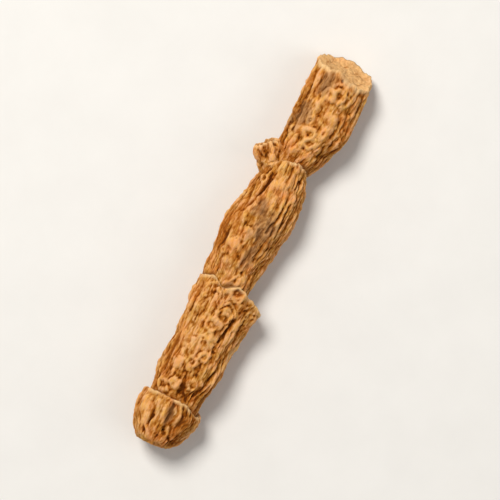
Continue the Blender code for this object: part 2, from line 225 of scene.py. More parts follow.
# Scars where rootlets came away: a ring round a hollow. Below 0 the hollow is a knob, and a pit has hardly
# any ring.
Scar = namedtuple("Scar", "station angle radius ring hollow")
SEEN_SCARS = tuple(
    Scar(*row)
    for row in (
        (3.7, -11, 0.8, 0.1, 1.2), (1.6, 32, 1, 0.1, 0.6), (2.3, -33, 0.9, 0.1, 0.8),
        (14.6, 38, 1.5, 0.5, 0.6), (16, 14, 1.2, 0.5, -0.4), (14.6, -2, 1.1, 0.1, 0.7),
        (17.6, -19, 1.2, 0.4, 0.1), (21.7, 28, 1.3, 0.3, -0.4), (23, 4, 1.3, 0.45, 0.3),
        (25.4, -13, 1.1, 0.4, 0.3), (31, -2, 1, 0.35, 0), (33.9, 2, 1.5, 0.5, 0.35),
        (36.7, -14, 1.5, 0.5, 0.4), (44.2, -14, 1.7, 0.9, 0.9), (47.5, -24, 0.9, 0.1, -0.5),
        (49.3, -24, 0.7, 0.1, 0.8), (55.5, 18, 1.3, 0.3, -0.4), (59, 9, 1.5, 0.3, -0.4),
        (73.9, 41, 0.9, 0.5, 0.8), (83.6, -14, 1.2, 0.2, -0.5), (85.4, 1, 0.8, 0.1, 0.9),
        (86.1, 34, 1.3, 0.4, -0.3), (87.1, -5, 1.3, 0.45, 0.4), (89.5, 8, 1.4, 0.55, 0.4),
        (88.9, 40, 1.2, 0.3, -0.3), (92.9, 19, 0.8, 0.3, 0.7), (94, -14, 1.8, 0.3, -0.3),
        (101.6, -10, 1.5, 0.6, 0.6), (100.9, -25, 1.4, 0.4, 0.1), (101, 10, 1.2, 0.4, 0),
    )
)
# Widths are shares of a scar's radius. A scar with a raised ring is paler, with a small bud in its hollow.
RING_WIDTH = 0.45
HOLLOW_WIDTH = 0.6
RAISED_RING = 0.25
SCAR_BUD = 0.1
BUD_WIDTH = 0.3
SCAR_UNEVENNESS = 0.5
RING_TINT = 0.16
RING_TINT_WIDTH = 0.35
HOLLOW_TINT = 0.04
HOLLOW_TINT_WIDTH = 0.7

# Scars on the hidden sides, in rows at these angles, with ranges for the radius, ring and hollow.
HIDDEN_SCAR_SEED = 11
HIDDEN_SCAR_COUNT = 34
HIDDEN_SCAR_STATIONS = (6, 106)
HIDDEN_SCAR_ROWS = (120, 165, -165, -120)
HIDDEN_SCAR_SWING = (-14, 14)
HIDDEN_SCAR_SIZES = ((1.1, 1.6), (0.3, 0.55), (0, 0.6))

# Small scars all round: each lies in one of the ranges of stations, and has one of the hollows.
SMALL_SCAR_SEED = 5
SMALL_SCAR_COUNT = 90
SMALL_SCAR_STATIONS = ((13, 44), (82, 108), (2, 108))
SMALL_SCAR_RADII = (0.45, 0.95)
SMALL_SCAR_RINGS = (0.15, 0.32)
SMALL_SCAR_HOLLOWS = (-0.25, 0.15, 0.3, 0.45)
SMALL_SCAR_SHARE = 0.8

# Splits in the skin: from (station, angle) to (station, angle), half width and depth.
Split = namedtuple("Split", "start end half_width depth")
SPLITS = (
    Split((6.4, -5), (11, -6), 0.45, 0.8),
    Split((3.4, 27), (6.2, 24), 0.45, 0.7),
    Split((15, -38), (25.5, -52), 0.5, 0.7),
    Split((30.5, -26), (37.5, -35), 0.5, 0.9),
    Split((64, 42), (76.5, 20), 0.5, 1.1),
    Split((61.5, -24), (78, -32), 0.45, 0.7),
    Split((64, -44), (77, -50), 0.45, 0.7),
    Split((90.5, -38), (99, -46), 0.45, 0.7),
)
# How uneven their sides are, and how far they have healed in places.
SPLIT_UNEVENNESS = 0.5
SPLIT_HEALED = 0.5
HEALED_BETWEEN = (-0.25, 0.25)

# Old leaf scars: nested arches round a bud, from an apex (station, angle).
Arches = namedtuple("Arches", "apex opening reach spacing height")
LEAF_SCARS = (
    Arches((44.6, 24), 2.6, 11, 1.7, 0.3),
    Arches((41, -14), 1.9, 7, 1.6, 0.3),
    Arches((110, -150), 2.4, 9, 1.8, 0.3),
    Arches((43.5, 165), 2.6, 9, 1.8, 0.3),
)
# How far they wander and are worn in places, and how wide and deep a whole leaf scar is.
ARCH_WANDER = 0.9
ARCH_WEAR = 0.6
WORN_BETWEEN = (-0.25, 0.25)
ARCH_SPAN = 4.5
ARCH_DEPTH = 5

# The side shoot, a broken stub beside the last collar. Its radii are given at shares of its length.
SHOOT_BASE = Vector((75.6, 3.6, 7.6))
SHOOT_END = Vector((83.1, 11.2, 9.6))
SHOOT_RADII = ((0, 0.6, 1), (4.4, 3.7, 3.4))
SHOOT_SIDES = 120
SHOOT_ROWS = 54
SHOOT_ROUND = 1
SHOOT_ROUND_SHARE = 0.8
SHOOT_RAGGED = 1.2
SHOOT_RIBS = 0.7
RIB_MEAN = 0.2
SHOOT_WARTS = 0.6
SHOOT_SKIN = 0.14
SHOOT_RIM_PALE = 0.6
# Its broken end: the shares of its radius that have rows, how far it sinks at some of them, and its grain.
SHOOT_END_REACH = (0.95, 0.04)
SHOOT_END_ROWS = 16
SHOOT_SUNK = ((0, 0.2, 0.42, 0.66, 1), (1.2, 1.15, 1, 0.35, 0))
SHOOT_HOLLOW = 1.1
SHOOT_END_GRAIN = 0.7
SHOOT_ROUGHNESS = 0.22

# Marks drawn on the skin as strokes: for each kind its half width and height in mm, and how much paler it is;
# the raised kinds are paler and the sunken darker, partly as painted highlight and painted shade.
Kind = namedtuple("Kind", "half_width height tint")
KINDS = {
    "ridge": Kind(0.6, 0.34, 0.18),
    "groove": Kind(0.45, -0.27, -0.08),
    "crevice": Kind(0.5, -0.52, -0.14),
    "lump": Kind(1, 0.48, 0.14),
    "pit": Kind(0.5, -0.46, -0.13),
}

# The size above which a stroke gets no higher, the share of its height that is kept, how uneven its width is,
# how far out one that is seen may lie, as a share of the half width, and a distance beyond every stroke.
STROKE_LIMIT = 1.2
STROKE_SHARE = 0.8
STROKE_UNEVENNESS = 0.55
FARTHEST_OUT = 0.99
FAR = 99

# The strokes on the side that is seen from above, by internode and kind. A row has a size, and then two
# numbers for each point: its station and how far it lies towards +Y, both in tenths of a millimetre.
SEEN_STROKES = {
    ("tip", "ridge"): (
        (0.9, 48, 12, 30, 9, 14, 16), (0.9, 110, -16, 90, -26, 72, -36), (0.9, 110, 8, 85, 4, 60, 2),
        (1.1, 85, 86, 60, 83, 35, 79, 12, 56), (0.9, 105, 66, 75, 59, 50, 59), (0.7, 108, 46, 75, 42, 50, 34),
    ),
    ("tip", "groove"): (
        (1.5, 112, 31, 90, 28, 72, 24), (1.1, 72, 70, 58, 69, 40, 69), (0.9, 110, 86, 98, 83, 89, 78),
        (0.8, 52, 52, 36, 48), (1.2, 24, 76, 13, 68), (1.1, 113, 2, 93, -6, 63, -14), (0.9, 114, 19, 100, 13),
        (0.8, 104, -28, 88, -38),
    ),
    ("tip", "crevice"): ((0.9, 28, 2, 19, -6, 17, -16),),
    ("tip", "lump"): ((0.9, 95, 100), (0.9, 70, 98)),
    ("tip", "pit"): ((1.1, 45, 24, 33, 20), (0.6, 17, 31)),
    ("lower", "ridge"): (
        (1.2, 175, 56, 166, 46, 150, 41, 136, 46), (0.9, 300, 103, 250, 102, 200, 101, 160, 99),
        (0.8, 295, 82, 250, 83, 195, 84), (0.9, 265, 66, 235, 62, 200, 62, 175, 67),
        (1.3, 302, -52, 275, -50, 252, -47, 235, -43, 200, -37, 170, -36), (1, 290, -22, 265, -22),
        (1, 225, -6, 200, -8, 185, -14), (1.1, 360, 83, 400, 87, 430, 84, 438, 72),
        (1, 420, 106, 380, 109, 330, 107, 305, 105), (1, 430, 56, 420, 52, 395, 54, 365, 52, 333, 59),
        (1, 418, 20, 400, 28, 375, 32, 360, 30), (1, 350, -11, 330, -10), (1.1, 376, -32, 352, -35, 330, -36),
        (1.1, 434, -43, 419, -60),
    ),
    ("lower", "groove"): (
        (0.8, 234, 56, 233, 68, 226, 76), (0.8, 290, 92, 240, 93, 200, 90), (0.8, 270, 72, 225, 79),
        (1, 293, -42, 270, -41), (1.2, 242, -34, 220, -32, 190, -29),
        (0.9, 270, -29, 250, -27, 230, -22, 170, -22), (1.1, 430, 96, 400, 94, 350, 92),
        (1.2, 424, 60, 410, 65, 385, 65, 360, 64), (0.8, 410, 34, 394, 42, 365, 41), (0.8, 336, 49, 320, 48),
        (0.8, 330, 83, 300, 83), (1, 370, -46, 330, -45, 305, -43),
    ),
    ("lower", "crevice"): (
        (0.9, 158, 24, 146, 22, 134, 34), (0.8, 254, 53, 236, 50), (0.7, 404, 9, 393, 17, 372, 21, 357, 18),
        (1.1, 373, -16, 356, -23, 340, -21, 316, -15),
    ),
    ("lower", "lump"): (
        (1.5, 159, 77), (1.4, 166, 49), (0.9, 212, 66), (1.4, 179, 5), (0.7, 140, 62), (0.6, 140, 84),
        (0.9, 212, 32), (0.8, 190, 45), (1, 252, 6), (0.6, 264, -2), (1.1, 276, 34), (0.9, 286, 10),
        (1, 304, 22), (0.8, 242, -16), (0.8, 424, 36), (0.7, 436, 42), (0.6, 382, -17), (0.6, 406, -41),
        (0.7, 388, -54), (0.9, 415, -12), (0.9, 306, 70),
    ),
    ("lower", "pit"): (
        (0.6, 196, 62), (0.5, 214, 54), (1, 151, 64), (0.9, 129, 2), (0.5, 265, 26), (0.8, 287, -4),
        (0.9, 276, -10), (0.9, 217, 18), (0.7, 202, 5), (0.9, 295, 55), (0.8, 356, -6), (0.9, 396, -24),
        (0.8, 394, -43), (0.7, 406, -33), (0.8, 423, -33), (0.7, 423, -15),
    ),
    ("middle", "ridge"): (
        (1, 514, 17, 497, 18), (1, 540, 33, 520, 33, 506, 36), (0.9, 546, 63, 526, 62), (1, 586, 46, 562, 45),
        (0.9, 618, 31, 600, 27, 584, 23), (1, 650, 83, 625, 75, 596, 73), (1, 580, 89, 560, 86, 536, 81),
        (0.8, 520, 104, 470, 102), (0.8, 490, 72, 460, 67), (1, 690, -14, 650, -15, 610, -19),
        (1.1, 700, -32, 660, -30, 610, -31), (1, 690, -45, 650, -44, 603, -43),
        (1.2, 759, 64, 735, 67, 716, 73, 680, 77, 650, 76), (0.9, 700, 94, 650, 98),
        (1, 796, 42, 780, 44, 764, 43), (1, 792, 6, 765, 5, 744, 6), (0.9, 774, -8, 746, -8),
        (0.9, 772, -24, 740, -25, 720, -23), (0.9, 710, 24, 690, 25, 674, 19), (0.9, 730, 2, 690, 2, 664, 1),
        (0.7, 725, 41, 690, 38),
    ),
    ("middle", "groove"): (
        (1, 534, 48, 524, 46), (0.9, 500, 36, 490, 32), (0.7, 614, 44, 612, 56, 602, 63),
        (0.8, 586, 57, 570, 53, 558, 50), (0.8, 604, 67, 582, 63), (0.9, 640, 69, 610, 67),
        (0.8, 570, 97, 520, 95, 470, 91), (0.8, 500, 83, 465, 78), (1.1, 670, -39, 630, -38, 605, -37),
        (1.1, 715, 85, 680, 87, 645, 86), (0.9, 690, 60, 676, 56), (1.1, 794, 14, 770, 13, 754, 14),
        (1, 736, -32, 714, -31), (0.9, 710, 13, 685, 9), (0.6, 726, 49, 695, 46),
    ),
    ("middle", "crevice"): (
        (0.8, 674, -7, 640, -8, 615, -12), (0.8, 706, -23, 680, -21, 640, -22, 610, -25),
        (1.2, 758, 57, 735, 58, 716, 61, 704, 68, 690, 75), (0.8, 770, -16, 748, -16),
    ),
    ("middle", "lump"): (
        (1.2, 470, 15), (0.6, 480, 26), (0.9, 505, 72), (0.9, 520, -1), (1.1, 556, 64), (1.3, 598, 49),
        (0.6, 627, 14), (1, 652, 4), (0.7, 688, 67), (0.7, 668, 68), (1.1, 796, 4), (1.2, 750, 24),
        (0.8, 736, 39),
    ),
    ("middle", "pit"): (
        (1.1, 489, 13), (0.6, 513, 27), (0.7, 540, -4, 532, -1), (0.6, 546, 56), (0.5, 569, 69),
        (1, 747, 73, 734, 78), (0.6, 781, 37), (0.8, 739, 1),
    ),
    ("upper", "ridge"): (
        (1, 849, -46, 830, -42), (1, 932, 22, 918, 33, 904, 41, 889, 48), (0.9, 970, 26, 950, 28, 940, 25),
        (1.1, 970, -53, 940, -52, 920, -46, 894, -38), (1.1, 935, -65, 910, -60, 888, -54),
        (1.1, 995, -76, 955, -75, 910, -70), (1.1, 1043, 2, 1048, -12, 1043, -26, 1034, -39),
        (1.1, 1034, 14, 1004, 15), (0.9, 1060, 56, 1020, 57, 980, 55), (0.9, 986, -10, 970, -10),
        (0.9, 994, 18, 974, 30), (0.8, 1070, 48, 1054, 36),
    ),
    ("upper", "groove"): (
        (0.6, 874, -18, 862, -20), (0.9, 886, 34, 872, 34), (0.9, 884, 0, 885, -12), (0.9, 852, 34, 848, 26),
        (0.9, 936, -2, 920, 1, 908, 2), (0.9, 960, 14, 940, 14, 924, 16),
        (1.2, 965, -61, 940, -60, 915, -53, 890, -47), (1.2, 950, -70, 910, -66, 885, -60),
        (1.1, 1039, -2, 1037, -19, 1029, -31), (1, 1048, 44, 1020, 49, 990, 46),
        (1, 1048, 26, 1025, 28, 1000, 26), (1.1, 1060, 64, 1020, 65, 975, 67),
    ),
    ("upper", "crevice"): (
        (1, 878, -32, 866, -34, 852, -30), (0.9, 853, 11, 851, 0), (0.8, 955, -43, 930, -42, 910, -36),
        (0.7, 1010, -66, 988, -63),
    ),
    ("upper", "lump"): (
        (1.2, 864, 51), (0.95, 841, 38), (0.9, 860, 22), (1.1, 868, -19), (0.9, 843, -3, 834, -9),
        (0.7, 825, 6), (0.7, 870, -46), (0.8, 896, -14), (0.8, 893, 65), (0.6, 918, 56), (0.9, 960, -5),
        (0.7, 1030, -50), (0.7, 976, -44),
    ),
    ("upper", "pit"): ((0.8, 992, 5), (0.6, 994, -22), (0.8, 985, -55), (0.7, 1054, -4)),
}

# Strokes on the side shoot, in the same form.
SHOOT_STROKES = {
    "ridge": ((1.2, 830, 120, 805, 126, 782, 116, 766, 107), (0.9, 825, 94, 818, 84)),
    "groove": ((1, 792, 106, 774, 100, 762, 96), (1, 820, 64, 805, 62)),
    "crevice": ((1.2, 812, 104, 803, 96, 794, 90), (0.8, 840, 90, 832, 84)),
    "lump": ((1.4, 798, 77), (0.8, 784, 70), (0.9, 831, 75)),
    "pit": ((1, 771, 92), (0.7, 773, 72)),
}

# Strokes drawn over the sides and the underside: ranges for the angle and length of short and long ones,
# how many steps they have, and how far they bend, in degrees for each mm.
HIDDEN_STROKE_SEED = 23
HIDDEN_STROKES_PER_MM = 2.4
HIDDEN_KINDS = ("ridge", "ridge", "ridge", "groove", "groove", "groove", "crevice", "lump", "pit")
HIDDEN_SIZES = (0.6, 1.2)
SHORT_STROKES = ((105, 255), (0, 1))
LONG_STROKES = ((78, 282), (2, 8))
STROKE_STEPS = 3
STROKE_BEND = 2.5

# Patches of the skin, each a station, an angle, and its reach along and round the root in mm: where it is
# warty or nearly smooth, stained grey or orange, paler or darker as a whole, and pale as if worn.
PATCHES = {
    "warty": (
        (90.5, 2, 8, 5.2), (102, -14, 4, 3.2), (26, 4, 14, 4.6), (41, -30, 3.5, 4), (49, -22, 3, 3),
        (78.5, 42, 3.5, 3), (25, 175, 12, 5), (55, -160, 9, 4), (92, 150, 9, 5),
    ),
    "smooth": (
        (60, 8, 9, 4.5), (101, 48, 9, 3.5), (68, 14, 4, 3), (8, 0, 3, 3), (5.5, 34, 5.5, 4.6), (33, 60, 8, 3),
        (100, -110, 7, 4),
    ),
    "grey": (
        (62, -16, 5, 3.4), (66.5, 12, 2.8, 2.1), (54, -20, 4.2, 2.2), (93, 38, 4.2, 2.8),
        (103.5, 22, 3.6, 2.2), (8.6, -4, 3.2, 1.2), (25, 150, 7, 3.5), (75, -150, 7, 3), (98, 190, 6, 3.5),
    ),
    "orange": (
        (64, 44, 6, 2.6), (56, 68, 7, 3), (24, 52, 6, 2.8), (77, -24, 4.5, 2.4), (95, -52, 7, 2.6),
        (6, -38, 3.5, 2.6), (44, -16, 1.8, 1.6), (40, 130, 9, 3.5), (88, 110, 6, 3), (20, -110, 7, 3),
    ),
    # The first two paler patches paint the light falling on the knob's +Y side.
    "paler": (
        (2.5, 40, 3.5, 3.5), (8, 38, 4, 3.5), (29, 5, 9, 4.2), (40, 5, 4, 5), (33, -48, 4, 2.6),
        (86, 8, 3, 4.5), (94.5, -3, 7, 4.6), (102, -50, 4, 2.8), (74.5, -30, 5, 3), (73, 6, 5, 3),
        (59.9, 7, 1.5, 1.4), (57.4, 3, 1.6, 0.8), (55.6, 17, 1.3, 1.3), (48.5, -34, 4, 3.4),
        (49, 52, 3.5, 3.2), (30.5, 46, 5, 3), (60, 140, 9, 4), (30, -140, 9, 4),
    ),
    # The first three darker patches paint the shade on the knob's middle and -Y side.
    "darker": (
        (4, -14, 3.4, 2.8), (2.5, -44, 3.5, 4), (8.5, -34, 3.5, 5), (15.5, -62, 5, 3.6),
        (85.5, -62, 3.2, 3.4), (16, 5, 3.6, 12), (24, 54, 5.5, 4.2), (56.5, 57, 6.5, 3.6), (75, 52, 4.5, 3),
        (88, 54, 5, 3), (89, -60, 5, 3.6), (94, 56, 8, 3), (84, 200, 5, 8), (50, 175, 6, 4),
    ),
    "pale": (
        (106.9, -72, 2.2, 1.2), (89, 74, 5.5, 0.9), (27.5, -74, 4, 0.9), (40.8, -88, 2, 1.4),
        (70, -170, 5, 1.2), (30, 170, 6, 1.2),
    ),
}
PALER_BY = 0.15
DARKER_BY = 0.22
PALE_STAIN = 0.45
# Their ragged edges come from two noises with these heights, and fade between two shares of the reach.
PATCH_RAGS = {"patches": 0.55, "patch rims": 0.3}
PATCH_FADE = (0.55, 1.25)

# Warts vary round a middle size, and a higher wart is wider. Their mean level is taken off.
WART_SIZE = 0.62
WART_VARIETY = 0.55
WART_SAMPLE = 1.9
WART_RADIUS = 0.35
WART_SPREAD = 0.5
WART_LEVEL = 0.25

# Finer relief that the solid has no room for, in mm: grooves of two widths that are deeper in places, warts,
# lumps, and the skin's own grains.
FINE_WANDER = 0.05
FINE_TREMOR = 0.018
WARTY_TREMOR = 0.035
GROOVE_WIDTH = 0.24
GROOVE_DEPTH = 0.29
HAIR_DEPTH = 0.2
LEAST_DEPTH = 0.35
MORE_DEPTH = 0.9
DEEPER_BETWEEN = (-0.35, 0.35)
WART_HEIGHT = 0.6
LUMP_HEIGHT = 0.27
SKIN_HEIGHTS = {"skin": 0.2, "fine skin": 0.13}
# The share of it that is missing where the skin is smooth or warty, on the flanks, and on the seen side.
SMOOTH_GROOVES = 0.65
WARTY_GROOVES = 0.35
SMOOTH_WARTS = 0.6
SMOOTH_LUMPS = 0.5
WARTY_LUMPS = 0.7
FLANK_LUMPS = 0.5
FLANK_SPREAD = 0.35
SEEN_FINE = 0.38
# Over these mm from an edge the fine relief ends.
FINE_END = (-0.2, 1.2)

# How hollow a point is follows from its height over the skin around: weight, and samples along and round.
HOLLOW_SCALES = ((1.5, 1.2, 1.8), (0.45, 4, 6), (0.13, 10, 16))

# How gently the outermost bumps are eased to within the solid's box, in metres.
EASED = 0.5 * MM


def through(stations, values, at):
    """A smooth curve through the values at the stations, read at other stations."""
    x = np.array(stations, float)
    y = np.array(values, float)
    slope = np.gradient(y, x)
    i = np.clip(np.searchsorted(x, at) - 1, 0, len(x) - 2)
    span = x[i + 1] - x[i]
    t = np.clip((at - x[i]) / span, 0, 1)
    bend = span * t * (1 - t) * (slope[i] * (1 - t) - slope[i + 1] * t)
    return y[i] + (y[i + 1] - y[i]) * (t * t * (3 - 2 * t)) + bend


def turn_from(angle, centre):
    """Degrees from a centre angle, between -180 and 180."""
    return (np.degrees(angle) - centre + 180) % 360 - 180


def across(angle, centre):
    """Millimetres round the skin from a centre angle."""
    return turn_from(angle, centre) * math.radians(SKIN_RADIUS)


def hill(value, spread):
    return np.exp(-((value / spread) ** 2))


def ease(value, low, high):
    """From 0 at low to 1 at high, smoothly."""
    t = np.clip((value - low) / (high - low), 0, 1)
    return t * t * (3 - 2 * t)


def upward(angle):
    """1 on the side that is seen from above, and 0 on the flanks and below."""
    return ease(np.cos(angle), *UPPER_SIDE)


def noise_at(x, y, z):
    values = [noise.noise(Vector(p)) for p in zip(x.flat, y.flat, z.flat)]
    return np.array(values).reshape(x.shape)


def noise_in(points):
    return noise_at(*np.moveaxis(points, -1, 0))


def warts_at(x, y, z):
    """Round bumps of uneven size: 0 between them and up to 1 on top."""
    values = []
    for p in zip(x.flat, y.flat, z.flat):
        near, places = noise.voronoi(Vector(p))
        size = WART_SIZE + WART_VARIETY * noise.noise(WART_SAMPLE * places[0])
        radius = WART_RADIUS + WART_SPREAD * size
        values.append(size * max(0, 1 - (near[0] / radius) ** 2))
    return np.array(values).reshape(x.shape)


def wound(station, angle, name, index):
    """Coordinates wound round the root, so that a pattern read there has no seam."""
    along, round_it, sample = GRAINS[name]
    radius = SKIN_RADIUS / round_it
    return station / along + SAMPLE_GAP * (sample + index), radius * np.sin(angle), radius * np.cos(angle)


def bark_noise(station, angle, name, index=0):
    return noise_at(*wound(station, angle, name, index))


def bark_warts(station, angle, name, index=0):
    return warts_at(*wound(station, angle, name, index)) - WART_LEVEL


def edge_station(edge, angle):
    """Where an edge stands at each angle."""
    station = np.full_like(angle, edge.station)
    for centre, spread, shift in edge.swings:
        station += shift * hill(turn_from(angle, centre), spread)
    return station + edge.ragged * bark_noise(station, angle, "edge")


def flare(edge, station, angle):
    """How far the skin stands out as it nears its edge."""
    left = np.maximum(edge_station(edge, angle) - station, 0)
    raised = np.zeros_like(station)
    for centre, spread, height, reach in edge.flares:
        raised += height * hill(turn_from(angle, centre), spread) * np.exp(-left / reach)
    return raised - EDGE_DROP * np.maximum(0, 1 - left / EDGE_ROUND) ** 2


def away_from(x, y, run):
    """How far points are from a line that runs from the origin."""
    share = np.clip((x * run[0] + y * run[1]) / max(run[0] ** 2 + run[1] ** 2, 1e-6), 0, 1)
    return np.hypot(x - share * run[0], y - share * run[1])


def away_from_path(station, angle, path):
    """How far points of the skin are from a path of stations and angles, in mm."""
    nearest = np.full_like(station, FAR)
    for start, end in zip(path, path[1:] or path):
        run = end[0] - start[0], math.radians(end[1] - start[1]) * SKIN_RADIUS
        nearest = np.minimum(nearest, away_from(station - start[0], across(angle, start[1]), run))
    return nearest


def seen_strokes(index):
    """The strokes on the upper side of an internode, with points as station and angle."""
    internode = INTERNODES[index]
    strokes = []
    for kind in KINDS:
        for size, *places in SEEN_STROKES[internode.name, kind]:
            stations = np.array(places[::2]) / 10
            sides = np.array(places[1::2]) / 10
            centre = through(internode.stations, internode.centre_y, stations)
            half_width = through(internode.stations, internode.half_width, stations)
            outward = np.clip((sides - centre) / half_width, -FARTHEST_OUT, FARTHEST_OUT)
            angles = np.degrees(np.arcsin(outward))
            strokes.append((KINDS[kind], size, list(zip(stations.tolist(), angles.tolist()))))
    return strokes


def hidden_strokes(index):
    """Strokes drawn over an internode's flanks and underside: mostly ridges and grooves that run along."""
    draw = random.Random(HIDDEN_STROKE_SEED + index)
    first = INTERNODES[index].stations[0]
    last = EDGES[index].station
    strokes = []
    for _ in range(round(HIDDEN_STROKES_PER_MM * (last - first))):
        kind = draw.choice(HIDDEN_KINDS)
        station = draw.uniform(first, last)
        angles, lengths = SHORT_STROKES if kind in ("lump", "pit") else LONG_STROKES
        angle = draw.uniform(*angles)
        size = draw.uniform(*HIDDEN_SIZES)
        step = draw.uniform(*lengths) / STROKE_STEPS
        path = [(station, angle)]
        for _ in range(STROKE_STEPS):
            station += step
            angle += draw.uniform(-STROKE_BEND, STROKE_BEND) * step
            path.append((station, angle))
        strokes.append((KINDS[kind], size, path))
    return strokes


def stroke_relief(strokes, station, angle):
    """The height of the strokes, and how much paler or darker they make the skin."""
    relief = np.zeros_like(station)
    tint = np.zeros_like(station)
    widened = 1 + STROKE_UNEVENNESS * bark_noise(station, angle, "strokes")
    for kind, size, path in strokes:
        shape = hill(away_from_path(station, angle, path), kind.half_width * size * widened)
        relief += kind.height * min(size, STROKE_LIMIT) * shape
        tint += kind.tint * shape
    return relief, tint


def shoot_strokes(points):
    """The height and tint of the marks on the side shoot, at its points."""
    height = np.zeros(points.shape[:-1])
    tint = np.zeros_like(height)
    upper = points[..., 2] > SHOOT_END[2] - 1
    for kind, rows in SHOOT_STROKES.items():
        for size, *places in rows:
            path = list(zip(np.array(places[::2]) / 10, np.array(places[1::2]) / 10))
            nearest = np.full_like(height, FAR)
            for start, end in zip(path, path[1:] or path):
                run = end[0] - start[0], end[1] - start[1]
                away = away_from(points[..., 0] - start[0], points[..., 1] - start[1], run)
                nearest = np.minimum(nearest, away)
            shape = hill(nearest, KINDS[kind].half_width * size) * upper
            height += KINDS[kind].height * shape
            tint += KINDS[kind].tint * shape
    return height, tint


def patched(name, station, angle):
    """1 inside the patches of this name and 0 outside them, with ragged edges."""
    ragged = sum(height * bark_noise(station, angle, rag) for rag, height in PATCH_RAGS.items())
    inside = np.zeros_like(station)
    for middle, centre, along, round_it in PATCHES[name]:
        away = np.hypot((station - middle) / along, across(angle, centre) / round_it)
        inside = np.maximum(inside, 1 - ease(away + ragged, *PATCH_FADE))
    return inside


def hidden_scars():
    """Rootlet scars in loose rows along the underside and flanks."""
    draw = random.Random(HIDDEN_SCAR_SEED)
    first, last = HIDDEN_SCAR_STATIONS
    scars = []
    for i in range(HIDDEN_SCAR_COUNT):
        station = first + (last - first) * (i + 0.5 * draw.random()) / HIDDEN_SCAR_COUNT
        angle = HIDDEN_SCAR_ROWS[i % len(HIDDEN_SCAR_ROWS)] + draw.uniform(*HIDDEN_SCAR_SWING)
        scars.append(Scar(station, angle, *(draw.uniform(*sizes) for sizes in HIDDEN_SCAR_SIZES)))
    return scars


def small_scars():
    """Small warts and ring scars scattered all round, with a bare hollow in some."""
    draw = random.Random(SMALL_SCAR_SEED)
    scars = []
    for _ in range(SMALL_SCAR_COUNT):
        station = draw.choice([draw.uniform(*stations) for stations in SMALL_SCAR_STATIONS])
        radius = draw.uniform(*SMALL_SCAR_RADII)
        ring = draw.uniform(*SMALL_SCAR_RINGS)
        hollow = draw.choice(SMALL_SCAR_HOLLOWS)
        scars.append(Scar(station, draw.uniform(-180, 180), radius, ring, hollow))
    return scars


def scar_relief(station, angle, scars):
    relief = np.zeros_like(station)
    uneven = 1 + SCAR_UNEVENNESS * bark_noise(station, angle, "scars")
    for scar in scars:
        away = np.hypot(station - scar.station, across(angle, scar.angle)) * uneven
        relief += scar.ring * hill(away - scar.radius, RING_WIDTH * scar.radius)
        relief -= scar.hollow * hill(away, HOLLOW_WIDTH * scar.radius)
        if scar.ring >= RAISED_RING:
            relief += (scar.hollow + SCAR_BUD) * hill(away, BUD_WIDTH * scar.radius)
    return relief


def scar_tint(station, angle, scars):
    """How much paler the rings and the hollows of raised scars are."""
    tint = np.zeros_like(station)
    for scar in scars:
        if scar.ring >= RAISED_RING:
            away = np.hypot(station - scar.station, across(angle, scar.angle))
            tint += RING_TINT * hill(away - scar.radius, RING_TINT_WIDTH * scar.radius)
            tint += HOLLOW_TINT * hill(away, HOLLOW_TINT_WIDTH * scar.radius)
    return tint


def split_relief(station, angle):
    relief = np.zeros_like(station)
    widened = 1 + SPLIT_UNEVENNESS * bark_noise(station, angle, "split sides")
    open_share = 1 - SPLIT_HEALED * ease(bark_noise(station, angle, "splits healed"), *HEALED_BETWEEN)
    for split in SPLITS:
        away = away_from_path(station, angle, (split.start, split.end)) * widened
        relief -= split.depth * open_share * hill(away, split.half_width)
    return relief


def leaf_scar_relief(station, angle):
    """Nested arches: ridges along curves that open backwards from the apex."""
    relief = np.zeros_like(station)
    bent = ARCH_WANDER * bark_noise(station, angle, "arch bends")
    left = 1 - ARCH_WEAR * ease(bark_noise(station, angle, "arches worn"), *WORN_BETWEEN)
    for arches in LEAF_SCARS:
        side = across(angle, arches.apex[1])
        back = arches.apex[0] - station
        depth = back - side * side / arches.opening + bent
        fade = hill(side, ARCH_SPAN) * hill(np.maximum(back, 0), arches.reach) * hill(depth, ARCH_DEPTH)
        wave = np.cos(2 * math.pi * depth / arches.spacing) * (depth > -0.5 * arches.spacing)
        relief += arches.height * left * fade * wave
    return relief


def main_relief(index, station, angle, scars):
    """The wrinkles that the solid has too: height over the plain girth, in mm."""
    swelling = bark_noise(station, angle, "swellings", index)
    wander = bark_noise(station, angle, "rib bends", index)
    ribs = np.abs(bark_noise(station, angle + RIB_WANDER * wander, "ribs", index))
    cross = bark_noise(station, angle, "cross folds", index)
    rib_height = RIB_HEIGHT * (1 - SEEN_RIBS * upward(angle))
    relief = SWELLING_HEIGHT * swelling + rib_height * (ribs - RIB_LEVEL) + CROSS_HEIGHT * cross
    marks = scar_relief(station, angle, scars) + split_relief(station, angle)
    return relief + marks + leaf_scar_relief(station, angle)


def grooves(station, angle, name, index):
    """Narrow grooves between flat-topped ribs: from -1 in a groove to 0 on a rib."""
    cut = np.abs(bark_noise(station, angle, name, index))
    return ease(cut, 0, GROOVE_WIDTH) - 1


